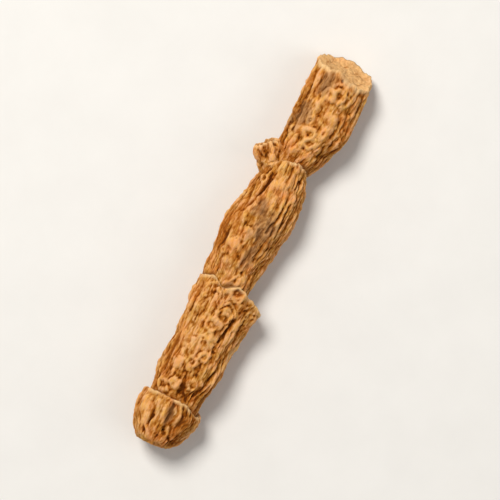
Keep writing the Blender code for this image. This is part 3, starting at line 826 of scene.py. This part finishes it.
def fine_relief(index, station, angle, scars):
    """The finer wrinkles and marks, in mm, and how much paler or darker the marks are."""
    wander = bark_noise(station, angle, "groove bends", index)
    tremor = bark_noise(station, angle, "groove tremor", index)
    depth = ease(bark_noise(station, angle, "groove depth", index), *DEEPER_BETWEEN)
    smooth = patched("smooth", station, angle)
    warty = patched("warty", station, angle)
    turned = angle + FINE_WANDER * wander + (FINE_TREMOR + WARTY_TREMOR * warty) * tremor

    relief = GROOVE_DEPTH * grooves(station, turned, "grooves", index)
    relief += HAIR_DEPTH * grooves(station, turned, "hairs", index)
    relief *= LEAST_DEPTH + MORE_DEPTH * depth
    relief *= (1 - SMOOTH_GROOVES * smooth) * (1 - WARTY_GROOVES * warty)
    warts = bark_warts(station, turned, "warts", index)
    lumps = bark_warts(station, turned, "lumps", index)
    relief += WART_HEIGHT * warty * (1 - SMOOTH_WARTS * smooth) * warts
    lump_height = LUMP_HEIGHT * (1 - FLANK_LUMPS * hill(np.cos(angle), FLANK_SPREAD))
    lump_height = lump_height * (1 - WARTY_LUMPS * warty) * (1 - SMOOTH_LUMPS * smooth)
    relief += lump_height * lumps
    relief *= 1 - SEEN_FINE * upward(angle)
    for name, height in SKIN_HEIGHTS.items():
        relief += height * bark_noise(station, turned, name, index)

    strokes, tint = stroke_relief([*seen_strokes(index), *hidden_strokes(index)], station, turned)
    relief += STROKE_SHARE * strokes + SMALL_SCAR_SHARE * scar_relief(station, turned, scars)
    tint += PALER_BY * patched("paler", station, angle) - DARKER_BY * patched("darker", station, angle)
    return relief, tint + scar_tint(station, turned, [*SEEN_SCARS, *scars])


def skin_point(index, station, angle, raised):
    """The point of an internode's skin at a station and angle, raised by some mm."""
    internode = INTERNODES[index]
    centre_y, centre_z, half_width, half_height = (
        through(internode.stations, values, station) for values in internode[2:]
    )
    y = centre_y + (half_width + raised) * np.sin(angle)
    z = centre_z + (half_height + raised) * np.cos(angle)
    return np.stack([station, y, z], axis=-1)


def height_over(index, points, angle):
    """How far points stand over the plain skin of an internode."""
    gap = points - skin_point(index, points[..., 0], angle, 0)
    return gap[..., 1] * np.sin(angle) + gap[..., 2] * np.cos(angle)


def cover(index, station, angle, raised):
    """Lifts an internode's skin near its edge, so that it covers the next one."""
    height = height_over(index + 1, skin_point(index, station, angle, raised), angle)
    left = edge_station(COLLARS[index], angle) - station
    return raised + np.maximum(COVER - height, 0) * np.clip(COVER_REACH - left, 0, 1)


# A row of points round the root, and what the colours need to know of each point.
# The hollow mask darkens crevices and pales ridges, partly as painted shade and highlight; the pale mask is
# partly a painted highlight; the shade mask is painted shade.
MASKS = ("hollow", "pale", "flesh", "shade", "grey", "orange")
Row = namedtuple("Row", ("points", *MASKS))


def make_row(points, **masks):
    """A row with the masks that are given, and 0 for the others."""
    return Row(points, *(masks.get(name, 0) + np.zeros(len(points)) for name in MASKS))


def make_rows(points, **masks):
    """Rows from a grid of points and grids of masks."""
    return [make_row(row, **dict(zip(masks, values))) for row, *values in zip(points, *masks.values())]


def blurred(height, along, round_it):
    """A height field softened by some samples along the root and round it."""
    for axis, reach in enumerate((along, round_it)):
        total = np.zeros_like(height)
        weight = 0
        for tap in range(-round(2 * reach), round(2 * reach) + 1):
            share = math.exp(-0.5 * (tap / reach) ** 2)
            if axis:
                moved = np.roll(height, tap, axis=1)
            else:
                moved = height[np.clip(np.arange(len(height)) + tap, 0, len(height) - 1)]
            total += share * moved
            weight += share
        height = total / weight
    return height


# The colours paint highlight on ridges and shade in crevices by this, besides the bark's own tone.
def hollowness(height):
    """From 0 on a ridge to 1 in a crevice, with 0.5 for even skin."""
    hollow = np.full_like(height, 0.5)
    for weight, along, round_it in HOLLOW_SCALES:
        hollow -= weight * (height - blurred(height, along, round_it))
    return np.clip(hollow, 0, 1)


def lip_paleness_and_highlight(left, angles, broken):
    """How pale the skin is near an edge, by the mm left to it: partly paler skin and partly a painted
    highlight.
    The pale lip is worn away in places.
    """
    width, kept = BREAK_LIP if broken else COLLAR_LIP
    whole = kept + (1 - kept) * ease(bark_noise(0 * left, angles, "lip"), *LIP_WHOLE_BETWEEN)
    width = width * (0.45 + 0.85 * whole)
    return (LIP_PALENESS_AND_HIGHLIGHT + LIP_CONTRAST * whole) * (1 - ease(left, 0.2 * width, width))


def internode_rows(index, angle, scars, warts, previous_row):
    """Rows of points along one internode, from under the last collar to its own edge."""
    edge = EDGES[index]
    if previous_row is None:
        first = np.full_like(angle, INTERNODES[0].stations[0] + TIP_LENGTH)
    else:
        step = np.clip(height_over(index, previous_row, angle), *STEP_LIMITS)
        first = previous_row[:, 0] - COLLARS[index - 1].undercut * step
    last = edge_station(edge, angle) + EDGE_NICKS * bark_noise(0 * angle, angle, "nicks")
    count = round(float((last - first).mean()) / ROW_STEP)
    station = first + (last - first) * np.linspace(0, 1, count)[:, None]
    angles = np.broadcast_to(angle, station.shape)

    raised = main_relief(index, station, angles, scars)
    fine, tint = fine_relief(index, station, angles, warts)
    shade = np.zeros_like(station)
    if previous_row is not None:
        emerging = np.clip((station - first) / EMERGING, LEAST_EMERGED, 1)
        raised = raised * emerging
        fine = fine * emerging
        shade = 1 - ease(station - first, 0, SHADE_REACH)
    left = last - station
    raised = raised + flare(edge, station, angles) + fine * ease(left, *FINE_END)
    if edge is not BREAK:
        raised = cover(index, station, angles, raised)

    stained = PALE_STAIN * patched("pale", station, angles)
    # The hollow mask paints shade in crevices and highlight on ridges, and the lip is pale partly as a
    # painted highlight.
    return make_rows(
        skin_point(index, station, angles, raised),
        hollow=np.clip(hollowness(raised) - tint, 0, 1),
        pale=np.maximum(lip_paleness_and_highlight(left, angles, edge is BREAK), stained),
        shade=shade,
        grey=patched("grey", station, angles),
        orange=patched("orange", station, angles),
    )


def blunt_relief(points):
    """Wrinkles for the blunt end of the tip, where the grooves of the sides have run out, in mm."""
    creases = np.minimum(np.abs(noise_in(points / TIP_CREASE_GRAIN)), 0.4) - 0.2
    warts = warts_at(*np.moveaxis(points / TIP_WART_GRAIN, -1, 0)) - 0.3
    return TIP_CREASES * creases + TIP_WARTS * warts + TIP_ROUGHNESS * noise_in(points / TIP_GRAIN)


def tip_turns():
    """The turns, from the pole to the side, that lie at even distances along the tip's outline."""
    turns = np.linspace(0, math.pi / 2, OUTLINE_POINTS)
    along = TIP_LENGTH * (1 - np.cos(turns))
    out = INTERNODES[0].half_width[0] * np.sin(turns) ** TIP_SQUARENESS
    length = np.concatenate([[0], np.cumsum(np.hypot(np.diff(along), np.diff(out)))])
    return np.interp(np.linspace(0, length[-1], TIP_ROWS + 1)[1:-1], length, turns)[:, None]


def tip_rows(angle, scars, warts):
    """The rounded tip, from its pole to where the first internode's skin takes over."""
    turns = tip_turns()
    share = np.sin(turns) ** TIP_SQUARENESS
    station = INTERNODES[0].stations[0] + TIP_LENGTH * (1 - np.cos(turns)) + np.zeros_like(angle)
    angles = np.broadcast_to(angle, station.shape)
    fine, tint = fine_relief(0, station, angles, warts)
    side = ease(share, TIP_SIDE, 1) + np.zeros_like(angle)
    raised = share * side * (main_relief(0, station, angles, scars) + fine)
    plain = skin_point(0, station, angles, 0)
    centre = plain.mean(axis=1, keepdims=True)
    blunt = (1 - side) * blunt_relief(centre + (plain - centre) * share[..., None])
    level = np.sin(turns)
    outward = np.stack([0 * angles - np.cos(turns), level * np.sin(angles), level * np.cos(angles)], -1)
    points = centre + (skin_point(0, station, angles, raised) - centre) * share[..., None]
    points += outward * blunt[..., None]
    points[..., 0] -= np.cos(turns) * TIP_LUMPS * noise_in(points / TIP_LUMP_GRAIN)
    # The blunt end's low spots are painted darker as shade.
    hollow = side * (hollowness(raised) - tint) + (1 - side) * 0.5 - TIP_HOLLOWNESS * blunt
    grey = patched("grey", station, angles) * side
    orange = patched("orange", station, angles) * side
    return make_rows(points, hollow=np.clip(hollow, 0, 1), grey=grey, orange=orange)


def wall_rows(last, first):
    """The rows down a collar's edge, from the skin that ends to the one that comes out of it."""
    rows = []
    for share in np.linspace(0, 1, WALL_ROWS + 1)[1:-1]:
        points = last.points + (first.points - last.points) * share
        # Down the wall the painted shade grows, and the pale top, partly a painted highlight, fades.
        rows.append(make_row(points, hollow=WALL_HOLLOW, pale=WALL_PALE_AND_HIGHLIGHT * (1 - share), shade=share))
    return rows


def break_rows(last):
    """The broken face, from its rim to its middle: hollow inside the rim, with a coarse grain."""
    rim = last.points
    centre = rim.mean(axis=0)
    spread = rim - centre
    slant = np.linalg.lstsq(spread[:, 1:], spread[:, 0], rcond=None)[0]
    ragged = spread[:, 0] - spread[:, 1:] @ slant
    flat = np.zeros_like(ragged)
    rows = []
    for share in np.linspace(1, 0, FACE_ROWS + 1)[1:-1]:
        row = centre + spread * share
        row[:, 0] += ragged * (share**5 - share)
        y, z = row[:, 1], row[:, 2]
        lumps = BREAK_LUMPS * noise_at(flat, y / BREAK_GRAIN, z / BREAK_GRAIN)
        sponge = noise_at(flat, y / SPONGE_GRAIN[0], z / SPONGE_GRAIN[1])
        fibres = noise_at(flat, y / FIBRE_GRAIN, z / FIBRE_GRAIN)
        inside = 1 - share**6
        row[:, 0] += inside * (lumps - BREAK_HOLLOW + SPONGE_HEIGHT * sponge + FIBRE_HEIGHT * fibres)
        ring = RING_DARKNESS * hill(share - RING_AT, RING_SPREAD)
        # The face is darker in its low spots, partly as painted shade, and along its own faint ring.
        hollow = np.clip(0.35 - 0.3 * sponge - 0.3 * fibres + ring, 0, 1)
        rows.append(make_row(row, hollow=hollow, pale=BREAK_RIM_PALE_AND_HIGHLIGHT * share**8, flesh=inside))
    return rows


def set_mask(mesh, mask, values):
    if mask in mesh.attributes:
        mesh.attributes.remove(mesh.attributes[mask])
    layer = mesh.attributes.new(mask, "FLOAT", "POINT")
    layer.data.foreach_set("value", values.astype(np.float32))


def closed_mesh(name, rows, first_pole, last_pole):
    """A closed mesh from rows of points with a pole at each end."""
    sides = len(rows[0].points)
    points = np.concatenate([[first_pole], *(row.points for row in rows), [last_pole]])
    points = (points - LAID_DOWN) * MM
    ring = np.arange(sides)
    after = (ring + 1) % sides
    low = 1 + sides * np.arange(len(rows) - 1)[:, None]
    high = low + sides
    quads = np.stack([low + ring, low + after, high + after, high + ring], axis=-1)
    pole = len(points) - 1
    edges = list(zip(ring.tolist(), after.tolist()))
    faces = [(0, 1 + b, 1 + a) for a, b in edges]
    faces += quads.reshape(-1, 4).tolist()
    faces += [(pole - sides + a, pole - sides + b, pole) for a, b in edges]
    mesh = bpy.data.meshes.new(name)
    mesh.from_pydata(points.tolist(), [], faces)
    mesh.update()
    for mask in MASKS:
        values = np.concatenate([getattr(row, mask) for row in rows])
        set_mask(mesh, mask, np.concatenate([[values[0]], values, [values[-1]]]))
    return mesh


def add_object(name, data):
    obj = bpy.data.objects.new(name, data)
    bpy.context.scene.collection.objects.link(obj)
    return obj


def root_body():
    """The four internodes with their collars, as one closed skin."""
    angle = -np.arange(SIDES) * (2 * math.pi / SIDES)
    scars = [*SEEN_SCARS, *hidden_scars()]
    warts = small_scars()
    rows = tip_rows(angle, scars, warts)
    pole = 2 * rows[0].points.mean(axis=0) - rows[1].points.mean(axis=0)
    for index in range(len(INTERNODES)):
        skin = internode_rows(index, angle, scars, warts, rows[-1].points if index else None)
        if index:
            rows += wall_rows(rows[-1], skin[0])
        rows += skin
    rows += break_rows(rows[-1])
    mesh = closed_mesh("rhizome_skin", rows, pole, rows[-1].points.mean(axis=0))
    return add_object("rhizome_skin", mesh)


def shoot_end_rows(lip, axis):
    """The broken end of the side shoot, from its lip to its sunken middle."""
    end = lip.mean(axis=0)
    uneven = np.outer((lip - end) @ axis, axis)
    rows = []
    for share in np.linspace(*SHOOT_END_REACH, SHOOT_END_ROWS):
        sunk = np.interp(share, *SHOOT_SUNK)
        row = end + (lip - end) * share - axis * SHOOT_HOLLOW * sunk
        row -= uneven * (share - share**3)
        rough = noise_in(row / SHOOT_END_GRAIN)
        row += np.outer(SHOOT_ROUGHNESS * rough, axis)
        # Darker in low rough spots and deeper in the sunken end: painted shade.
        hollow = np.clip(0.55 - 0.5 * rough + 0.35 * sunk, 0, 1)
        pale = 0.5 * ease(share, 0.7, 1)
        rows.append(make_row(row, hollow=hollow, pale=pale, flesh=0.6, shade=0.5 * sunk))
    return rows


def side_shoot():
    """The broken stub of a side branch: a short ribbed stem with a rounded rim and a hollow end."""
    axis = np.array((SHOOT_END - SHOOT_BASE).normalized())
    length = (SHOOT_END - SHOOT_BASE).length
    side = np.cross(axis, (0, 0, 1))
    side /= np.linalg.norm(side)
    up = np.cross(side, axis)
    turn = -np.arange(SHOOT_SIDES) * (2 * math.pi / SHOOT_SIDES)
    outward = np.outer(np.cos(turn), side) + np.outer(np.sin(turn), up)
    shortened = SHOOT_RAGGED * np.abs(bark_noise(np.zeros_like(turn), turn, "shoot lip"))
    reach = (length - shortened) * np.linspace(0, 1, SHOOT_ROWS)[:, None]
    turns = np.broadcast_to(turn, reach.shape)
    near_end = np.maximum(0, 1 - (length - shortened - reach) / SHOOT_ROUND)
    rounding = SHOOT_ROUND * (1 - np.sqrt(1 - near_end**2)) * SHOOT_ROUND_SHARE
    radius = np.interp(reach / length, *SHOOT_RADII) - rounding
    ribs = np.abs(bark_noise(reach, turns, "shoot ribs")) - RIB_MEAN
    warts = bark_warts(reach, turns, "shoot warts")
    skin = bark_noise(reach, turns, "shoot skin")
    raised = SHOOT_RIBS * ribs + SHOOT_WARTS * warts + SHOOT_SKIN * skin
    stem = np.array(SHOOT_BASE) + axis * reach[..., None]
    marks, tint = shoot_strokes(stem + outward * (radius + raised)[..., None])
    raised = raised + marks
    points = stem + outward * (radius + raised)[..., None]
    # Painted highlight on ridges and painted shade in crevices, besides the bark's own tone.
    hollow = np.clip(hollowness(raised) - tint, 0, 1)
    rows = make_rows(points, hollow=hollow, pale=SHOOT_RIM_PALE * ease(near_end, 0.2, 1))
    rows += shoot_end_rows(points[-1], axis)
    mesh = closed_mesh("side_shoot", rows, points[0].mean(axis=0), rows[-1].points.mean(axis=0))
    return add_object("side_shoot", mesh)


def masks_by_place(*meshes):
    """Every point's place and masks, to find them again after the union."""
    places, masks = [], []
    for mesh in meshes:
        count = len(mesh.vertices)
        xyz = np.empty(3 * count, np.float32)
        mesh.vertices.foreach_get("co", xyz)
        values = np.empty((len(MASKS), count), np.float32)
        for row, mask in zip(values, MASKS):
            mesh.attributes[mask].data.foreach_get("value", row)
        places.append(xyz.reshape(-1, 3))
        masks.append(values)
    return np.concatenate(places), np.concatenate(masks, axis=1)


def drop_thin_points(mesh):
    """Takes out the points that only two edges meet, which a union leaves along its seam."""
    work = bmesh.new()
    work.from_mesh(mesh)
    thin = [point for point in work.verts if len(point.link_edges) == 2]
    bmesh.ops.dissolve_verts(work, verts=thin)
    work.to_mesh(mesh)
    work.free()


def fuse(body, growth):
    """Joins a growth to the body by a union, and removes the growth."""
    places, masks = masks_by_place(body.data, growth.data)
    union = body.modifiers.new("grown together", "BOOLEAN")
    union.operation = "UNION"
    union.solver = "MANIFOLD"
    union.object = growth
    graph = bpy.context.evaluated_depsgraph_get()
    mesh = bpy.data.meshes.new_from_object(body.evaluated_get(graph))
    body.modifiers.clear()
    drop_thin_points(mesh)
    body.data = mesh
    bpy.data.objects.remove(growth)
    tree = kdtree.KDTree(len(places))
    for i, place in enumerate(places):
        tree.insert(place, i)
    tree.balance()
    nearest = np.array([tree.find(vertex.co)[1] for vertex in mesh.vertices])
    for mask, values in zip(MASKS, masks):
        set_mask(mesh, mask, values[nearest])


def keep_within(body):
    """Eases the outermost bumps to within the solid's box, and wears the lowest flat on the floor."""
    low, high = (np.array(corner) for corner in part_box(NODE))
    points = np.array([vertex.co for vertex in body.data.vertices])
    over = np.maximum(points - (high - EASED), 0)
    points -= over - EASED * (1 - np.exp(-over / EASED))
    under = np.maximum(low + EASED - points, 0)
    under[:, 2] = 0
    points += under - EASED * (1 - np.exp(-under / EASED))
    points[:, 2] = np.maximum(points[:, 2], low[2])
    body.data.vertices.foreach_set("co", points.ravel())
    body.data.update()


# Colours of the skin, from ridge to crevice, and of what lies on or under it. From ridge to crevice they are
# partly the bark's own tone and partly a painted highlight on the ridges and painted shade in the crevices;
# the deepest one also paints the shade under the collars and in the side shoot's sunken end.
RIDGE_AND_HIGHLIGHT = (0.83, 0.452, 0.202, 1)
SKIN = (0.553, 0.246, 0.07, 1)
CREVICE_AND_SHADE = (0.32, 0.092, 0.004, 1)
DEEPEST_SHADE = (0.105, 0.025, 0.002, 1)
# Pale skin, and a painted highlight along the lips of the edges.
PALE_AND_HIGHLIGHT = (0.93, 0.64, 0.32, 1)
# The grey stain, paler on ridges and darker in crevices, partly as painted highlight and shade.
GREY_RIDGE_AND_HIGHLIGHT = (0.43, 0.212, 0.086, 1)
GREY_CREVICE_AND_SHADE = (0.16, 0.062, 0.016, 1)
ORANGE = (0.6, 0.175, 0.022, 1)
FLESH = (0.82, 0.49, 0.205, 1)
DARK_FLESH = (0.42, 0.18, 0.05, 1)
BARK_HIGHLIGHT_AND_SHADE_COLOURS = ((0.1, RIDGE_AND_HIGHLIGHT), (0.48, SKIN), (0.8, CREVICE_AND_SHADE), (1, DEEPEST_SHADE))
# The broken flesh darkens in its low spots and pores, partly as painted shade.
FLESH_COLOURS = ((0.15, FLESH), (0.6, DARK_FLESH), (1, CREVICE_AND_SHADE))

# Tints that the skin's colour is multiplied by: where a texture begins and ends to tint it, and how far.
TINTS = (
    ("clean", 0.4, 0.62, 1, (1, 0.9, 0.5, 1)),
    ("warmth", 0.48, 0.7, 0.55, (1, 0.7, 0.45, 1)),
    ("dullness", 0.52, 0.74, 0.5, (0.74, 0.8, 0.95, 1)),
)
# Hues that it drifts between, towards olive and towards mauve.
HUES = ((0.36, (0.98, 1.05, 0.96, 1)), (0.64, (1.01, 0.95, 1.03, 1)))

# The skin's textures: how far each is drawn out along the root, its scale, detail, roughness and distortion.
EVEN = 1
ALONG = 0.3
TEXTURES = {
    "speckle": (ALONG, 2600, 3, 0.65),
    "streaks": (ALONG, 900, 3, 0.6),
    "clouds": (EVEN, 420, 2, 0.5),
    "threads": (0.22, 1150, 3, 0.7, 0.3),
    "mottle": (EVEN, 1500, 4, 0.7),
    "clean": (ALONG, 1500, 3, 0.65),
    "warmth": (EVEN, 230, 3, 0.6),
    "dullness": (ALONG, 310, 3, 0.6),
    "hue": (EVEN, 330, 3, 0.65),
    "sponge": (EVEN, 3000, 3, 0.65),
    "pores": (EVEN, 5200, 2, 0.7),
}

# How strongly the textures change the colour, from ridge to crevice, and the bumps.
WEAR = {"speckle": 0.4, "streaks": 0.36, "clouds": 0.45}
THREAD_SHARPNESS = 7.5
FIBRE_MEAN = 0.45
FIBRE_WEAR = 0.34
MOTTLE_WEAR = 1.1
STAIN_CONTRAST = 1.5
ORANGE_SHARE = 0.32
SPONGE_DARKNESS = 0.5
SHADE_DARKNESS = 0.75
STREAK_BUMP = 0.4
SPECKLE_BUMP = 0.35
PORE_BUMP = 0.15
FIBRE_BUMP = 0.38
MOTTLE_BUMP = 1.5
BUMP_STRENGTH = 0.8
BUMP_HEIGHT = 0.3 * MM
BARK_SHEEN = 0.07

# The floor: plain pale paper.
FLOOR_REACH = 3
FLOOR_GRAIN = 60
FLOOR_COLOURS = ((0.3, (0.8, 0.79, 0.77, 1)), (0.7, (0.83, 0.82, 0.8, 1)))
FLOOR_ROUGHNESS = 0.9
FLOOR_SHEEN = 0.2

# The photograph looks straight down, with the root running from bottom left to top right. The frame's width
# holds at the root's middle height.
ROOT_RISE = 64.3
CAMERA_HEIGHT = 0.62
MIDDLE_HEIGHT = 0.008
FRAME_WIDTH = 0.131
SENSOR = 36

# The lamps: how far right, up and high in the photograph, and their size, power and colour.
LAMPS = {
    "key": (-0.31, 0.52, 0.95, 0.45, 11.7, (1, 0.965, 0.91)),
    "fill": (0.9, -0.2, 0.8, 0.9, 3, (1, 0.98, 0.95)),
}
SKY_COLOUR = (1, 0.99, 0.97, 1)
SKY_STRENGTH = 0.26


class Nodes:
    """Short ways to add and join shader nodes."""

    def __init__(self, name):
        self.material = bpy.data.materials.new(name)
        self.material.use_nodes = True
        self.tree = self.material.node_tree
        self.shader = self.tree.nodes["Principled BSDF"]

    def join(self, node, inputs):
        """Joins other nodes' outputs to a node's sockets, or gives the sockets plain values."""
        for socket, value in inputs.items():
            if isinstance(value, bpy.types.NodeSocket):
                self.tree.links.new(value, node.inputs[socket])
            else:
                node.inputs[socket].default_value = value

    def add(self, kind, inputs, **settings):
        node = self.tree.nodes.new(kind)
        for name, value in settings.items():
            setattr(node, name, value)
        self.join(node, inputs)
        return node

    def mask(self, name):
        return self.add("ShaderNodeAttribute", {}, attribute_name=name).outputs["Fac"]

    def math(self, operation, a, b=0, clamp=False):
        return self.add("ShaderNodeMath", {0: a, 1: b}, operation=operation, use_clamp=clamp).outputs[0]

    def plus(self, a, b):
        return self.math("ADD", a, b)

    def minus(self, a, b):
        return self.math("SUBTRACT", a, b)

    def times(self, a, b, clamp=False):
        return self.math("MULTIPLY", a, b, clamp=clamp)

    def ramp(self, value, *stops):
        node = self.add("ShaderNodeValToRGB", {"Fac": value})
        elements = node.color_ramp.elements
        while len(elements) < len(stops):
            elements.new(0.5)
        for element, (position, colour) in zip(elements, stops):
            element.position = position
            element.color = colour if isinstance(colour, tuple) else (colour,) * 3 + (1,)
        return node.outputs["Color"]

    def mix(self, share, a, b, blend="MIX"):
        inputs = {0: share, 6: a, 7: b}
        return self.add("ShaderNodeMix", inputs, data_type="RGBA", blend_type=blend).outputs[2]

    def noise(self, stretch, scale, detail, roughness=0.55, distortion=0):
        """Noise in the piece's own frame, drawn out along the root where stretch is below 1."""
        place = self.add("ShaderNodeTexCoord", {}).outputs["Object"]
        if stretch < 1:
            inputs = {"Vector": place, "Scale": (stretch, 1, 1)}
            place = self.add("ShaderNodeMapping", inputs).outputs["Vector"]
        inputs = {"Vector": place, "Scale": scale, "Detail": detail, "Roughness": roughness}
        inputs["Distortion"] = distortion
        return self.add("ShaderNodeTexNoise", inputs).outputs["Fac"]


def bark_material():
    """Bark that is pale on its ridges and dark in its crevices, partly its own tone and partly painted
    highlight and painted shade, with streaks, fibres, stains and pores.
    """
    n = Nodes("dried_bark")
    look = {name: n.noise(*values) for name, values in TEXTURES.items()}
    flesh = n.mask("flesh")

    threads = n.math("ABSOLUTE", n.minus(look["threads"], 0.5))
    fibres = n.minus(1, n.times(threads, THREAD_SHARPNESS, clamp=True))
    fibres = n.times(fibres, n.minus(1, flesh))
    facing = n.add("ShaderNodeSeparateXYZ", {"Vector": n.add("ShaderNodeTexCoord", {}).outputs["Normal"]})
    side_on = n.ramp(n.math("ABSOLUTE", facing.outputs["X"]), (0.35, 1), (0.7, 0))
    fibres = n.times(fibres, side_on)
    mottle = n.times(n.minus(look["mottle"], 0.5), n.minus(1, side_on))

    # How far a point goes towards the crevice colours: the hollow mask, partly painted highlight and shade,
    # with textures.
    worn = n.mask("hollow")
    for name, strength in WEAR.items():
        worn = n.plus(worn, n.times(n.minus(look[name], 0.5), strength))
    worn = n.plus(worn, n.times(n.minus(fibres, FIBRE_MEAN), FIBRE_WEAR))
    worn = n.plus(worn, n.times(mottle, MOTTLE_WEAR))
    colour = n.ramp(worn, *BARK_HIGHLIGHT_AND_SHADE_COLOURS)
    for name, low, high, most, tint in TINTS:
        share = n.ramp(look[name], (low, 0), (high, most))
        colour = n.mix(share, colour, n.mix(1, colour, tint, "MULTIPLY"))
    colour = n.mix(1, colour, n.ramp(look["hue"], *HUES), "MULTIPLY")

    uneven = n.times(look["streaks"], STAIN_CONTRAST, clamp=True)
    # The grey stain follows the ramp from ridge to crevice, partly painted highlight and shade.
    grey = n.ramp(worn, (0.2, GREY_RIDGE_AND_HIGHLIGHT), (0.9, GREY_CREVICE_AND_SHADE))
    colour = n.mix(n.times(n.mask("grey"), uneven), colour, grey)
    colour = n.mix(n.times(n.mask("orange"), n.times(uneven, ORANGE_SHARE)), colour, ORANGE)
    # Pale stains, and pale lips that are partly a painted highlight.
    pale = n.times(n.mask("pale"), n.ramp(look["streaks"], (0.35, 0.45), (0.6, 1)))
    colour = n.mix(pale, colour, PALE_AND_HIGHLIGHT)
    # The pores of the broken face are darkened, partly as painted shade.
    sponge = n.times(flesh, n.ramp(look["sponge"], (0.34, 1), (0.52, 0)))
    broken = n.mix(n.times(sponge, SPONGE_DARKNESS), n.ramp(worn, *FLESH_COLOURS), CREVICE_AND_SHADE)
    colour = n.mix(flesh, colour, broken)
    # Painted shade under the collars, down their walls and in the side shoot's sunken end.
    colour = n.mix(n.times(n.mask("shade"), SHADE_DARKNESS), colour, DEEPEST_SHADE)

    height = n.plus(n.times(look["streaks"], STREAK_BUMP), n.times(look["speckle"], SPECKLE_BUMP))
    height = n.plus(height, n.times(look["pores"], PORE_BUMP))
    height = n.minus(height, n.times(n.plus(fibres, sponge), FIBRE_BUMP))
    height = n.minus(height, n.times(mottle, MOTTLE_BUMP))
    bumps = n.add("ShaderNodeBump", {"Height": height, "Strength": BUMP_STRENGTH, "Distance": BUMP_HEIGHT})
    roughness = n.ramp(worn, (0.1, 0.6), (0.6, 0.85))
    n.join(n.shader, {"Base Color": colour, "Roughness": roughness, "Normal": bumps.outputs["Normal"]})
    n.join(n.shader, {"Specular IOR Level": BARK_SHEEN})
    return n.material


def floor_material():
    n = Nodes("floor_paper")
    colour = n.ramp(n.noise(EVEN, FLOOR_GRAIN, 4), *FLOOR_COLOURS)
    n.join(n.shader, {"Base Color": colour, "Roughness": FLOOR_ROUGHNESS, "Specular IOR Level": FLOOR_SHEEN})
    return n.material


def add_floor():
    mesh = bpy.data.meshes.new("floor")
    corners = [(x * FLOOR_REACH, y * FLOOR_REACH, 0) for x, y in ((-1, -1), (1, -1), (1, 1), (-1, 1))]
    mesh.from_pydata(corners, [], [(0, 1, 2, 3)])
    mesh.materials.append(floor_material())
    floor = add_object("floor", mesh)


def turned_in_photo(right, up):
    """A level direction given by how far it points right and up in the photograph."""
    angle = math.radians(-ROOT_RISE)
    x = right * math.cos(angle) - up * math.sin(angle)
    y = right * math.sin(angle) + up * math.cos(angle)
    return Vector((x, y, 0))


def add_camera():
    data = bpy.data.cameras.new("camera")
    data.sensor_width = SENSOR
    data.lens = SENSOR * (CAMERA_HEIGHT - MIDDLE_HEIGHT) / FRAME_WIDTH
    data.clip_start = 0.01
    camera = add_object("camera", data)
    camera.location = (0, 0, CAMERA_HEIGHT)
    camera.rotation_euler = (0, 0, math.radians(-ROOT_RISE))
    bpy.context.scene.camera = camera


def add_lights():
    for name, (right, up, height, size, power, colour) in LAMPS.items():
        data = bpy.data.lights.new(name, "AREA")
        data.shape = "DISK"
        data.size = size
        data.energy = power
        data.color = colour
        lamp = add_object(name, data)
        lamp.location = turned_in_photo(right, up) + Vector((0, 0, height))
        lamp.rotation_euler = (-lamp.location).to_track_quat("-Z", "Y").to_euler()
    world = bpy.data.worlds.new("studio")
    world.use_nodes = True
    background = world.node_tree.nodes["Background"]
    background.inputs["Color"].default_value = SKY_COLOUR
    background.inputs["Strength"].default_value = SKY_STRENGTH
    bpy.context.scene.world = world


def main():
    root = root_body()
    fuse(root, side_shoot())
    keep_within(root)
    root.data.materials.clear()
    root.data.materials.append(bark_material())
    root.data.shade_smooth()
    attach(root, "root")
    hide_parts(NODE)
    add_floor()
    add_camera()
    add_lights()
    bpy.context.scene.view_settings.view_transform = "Standard"


main()
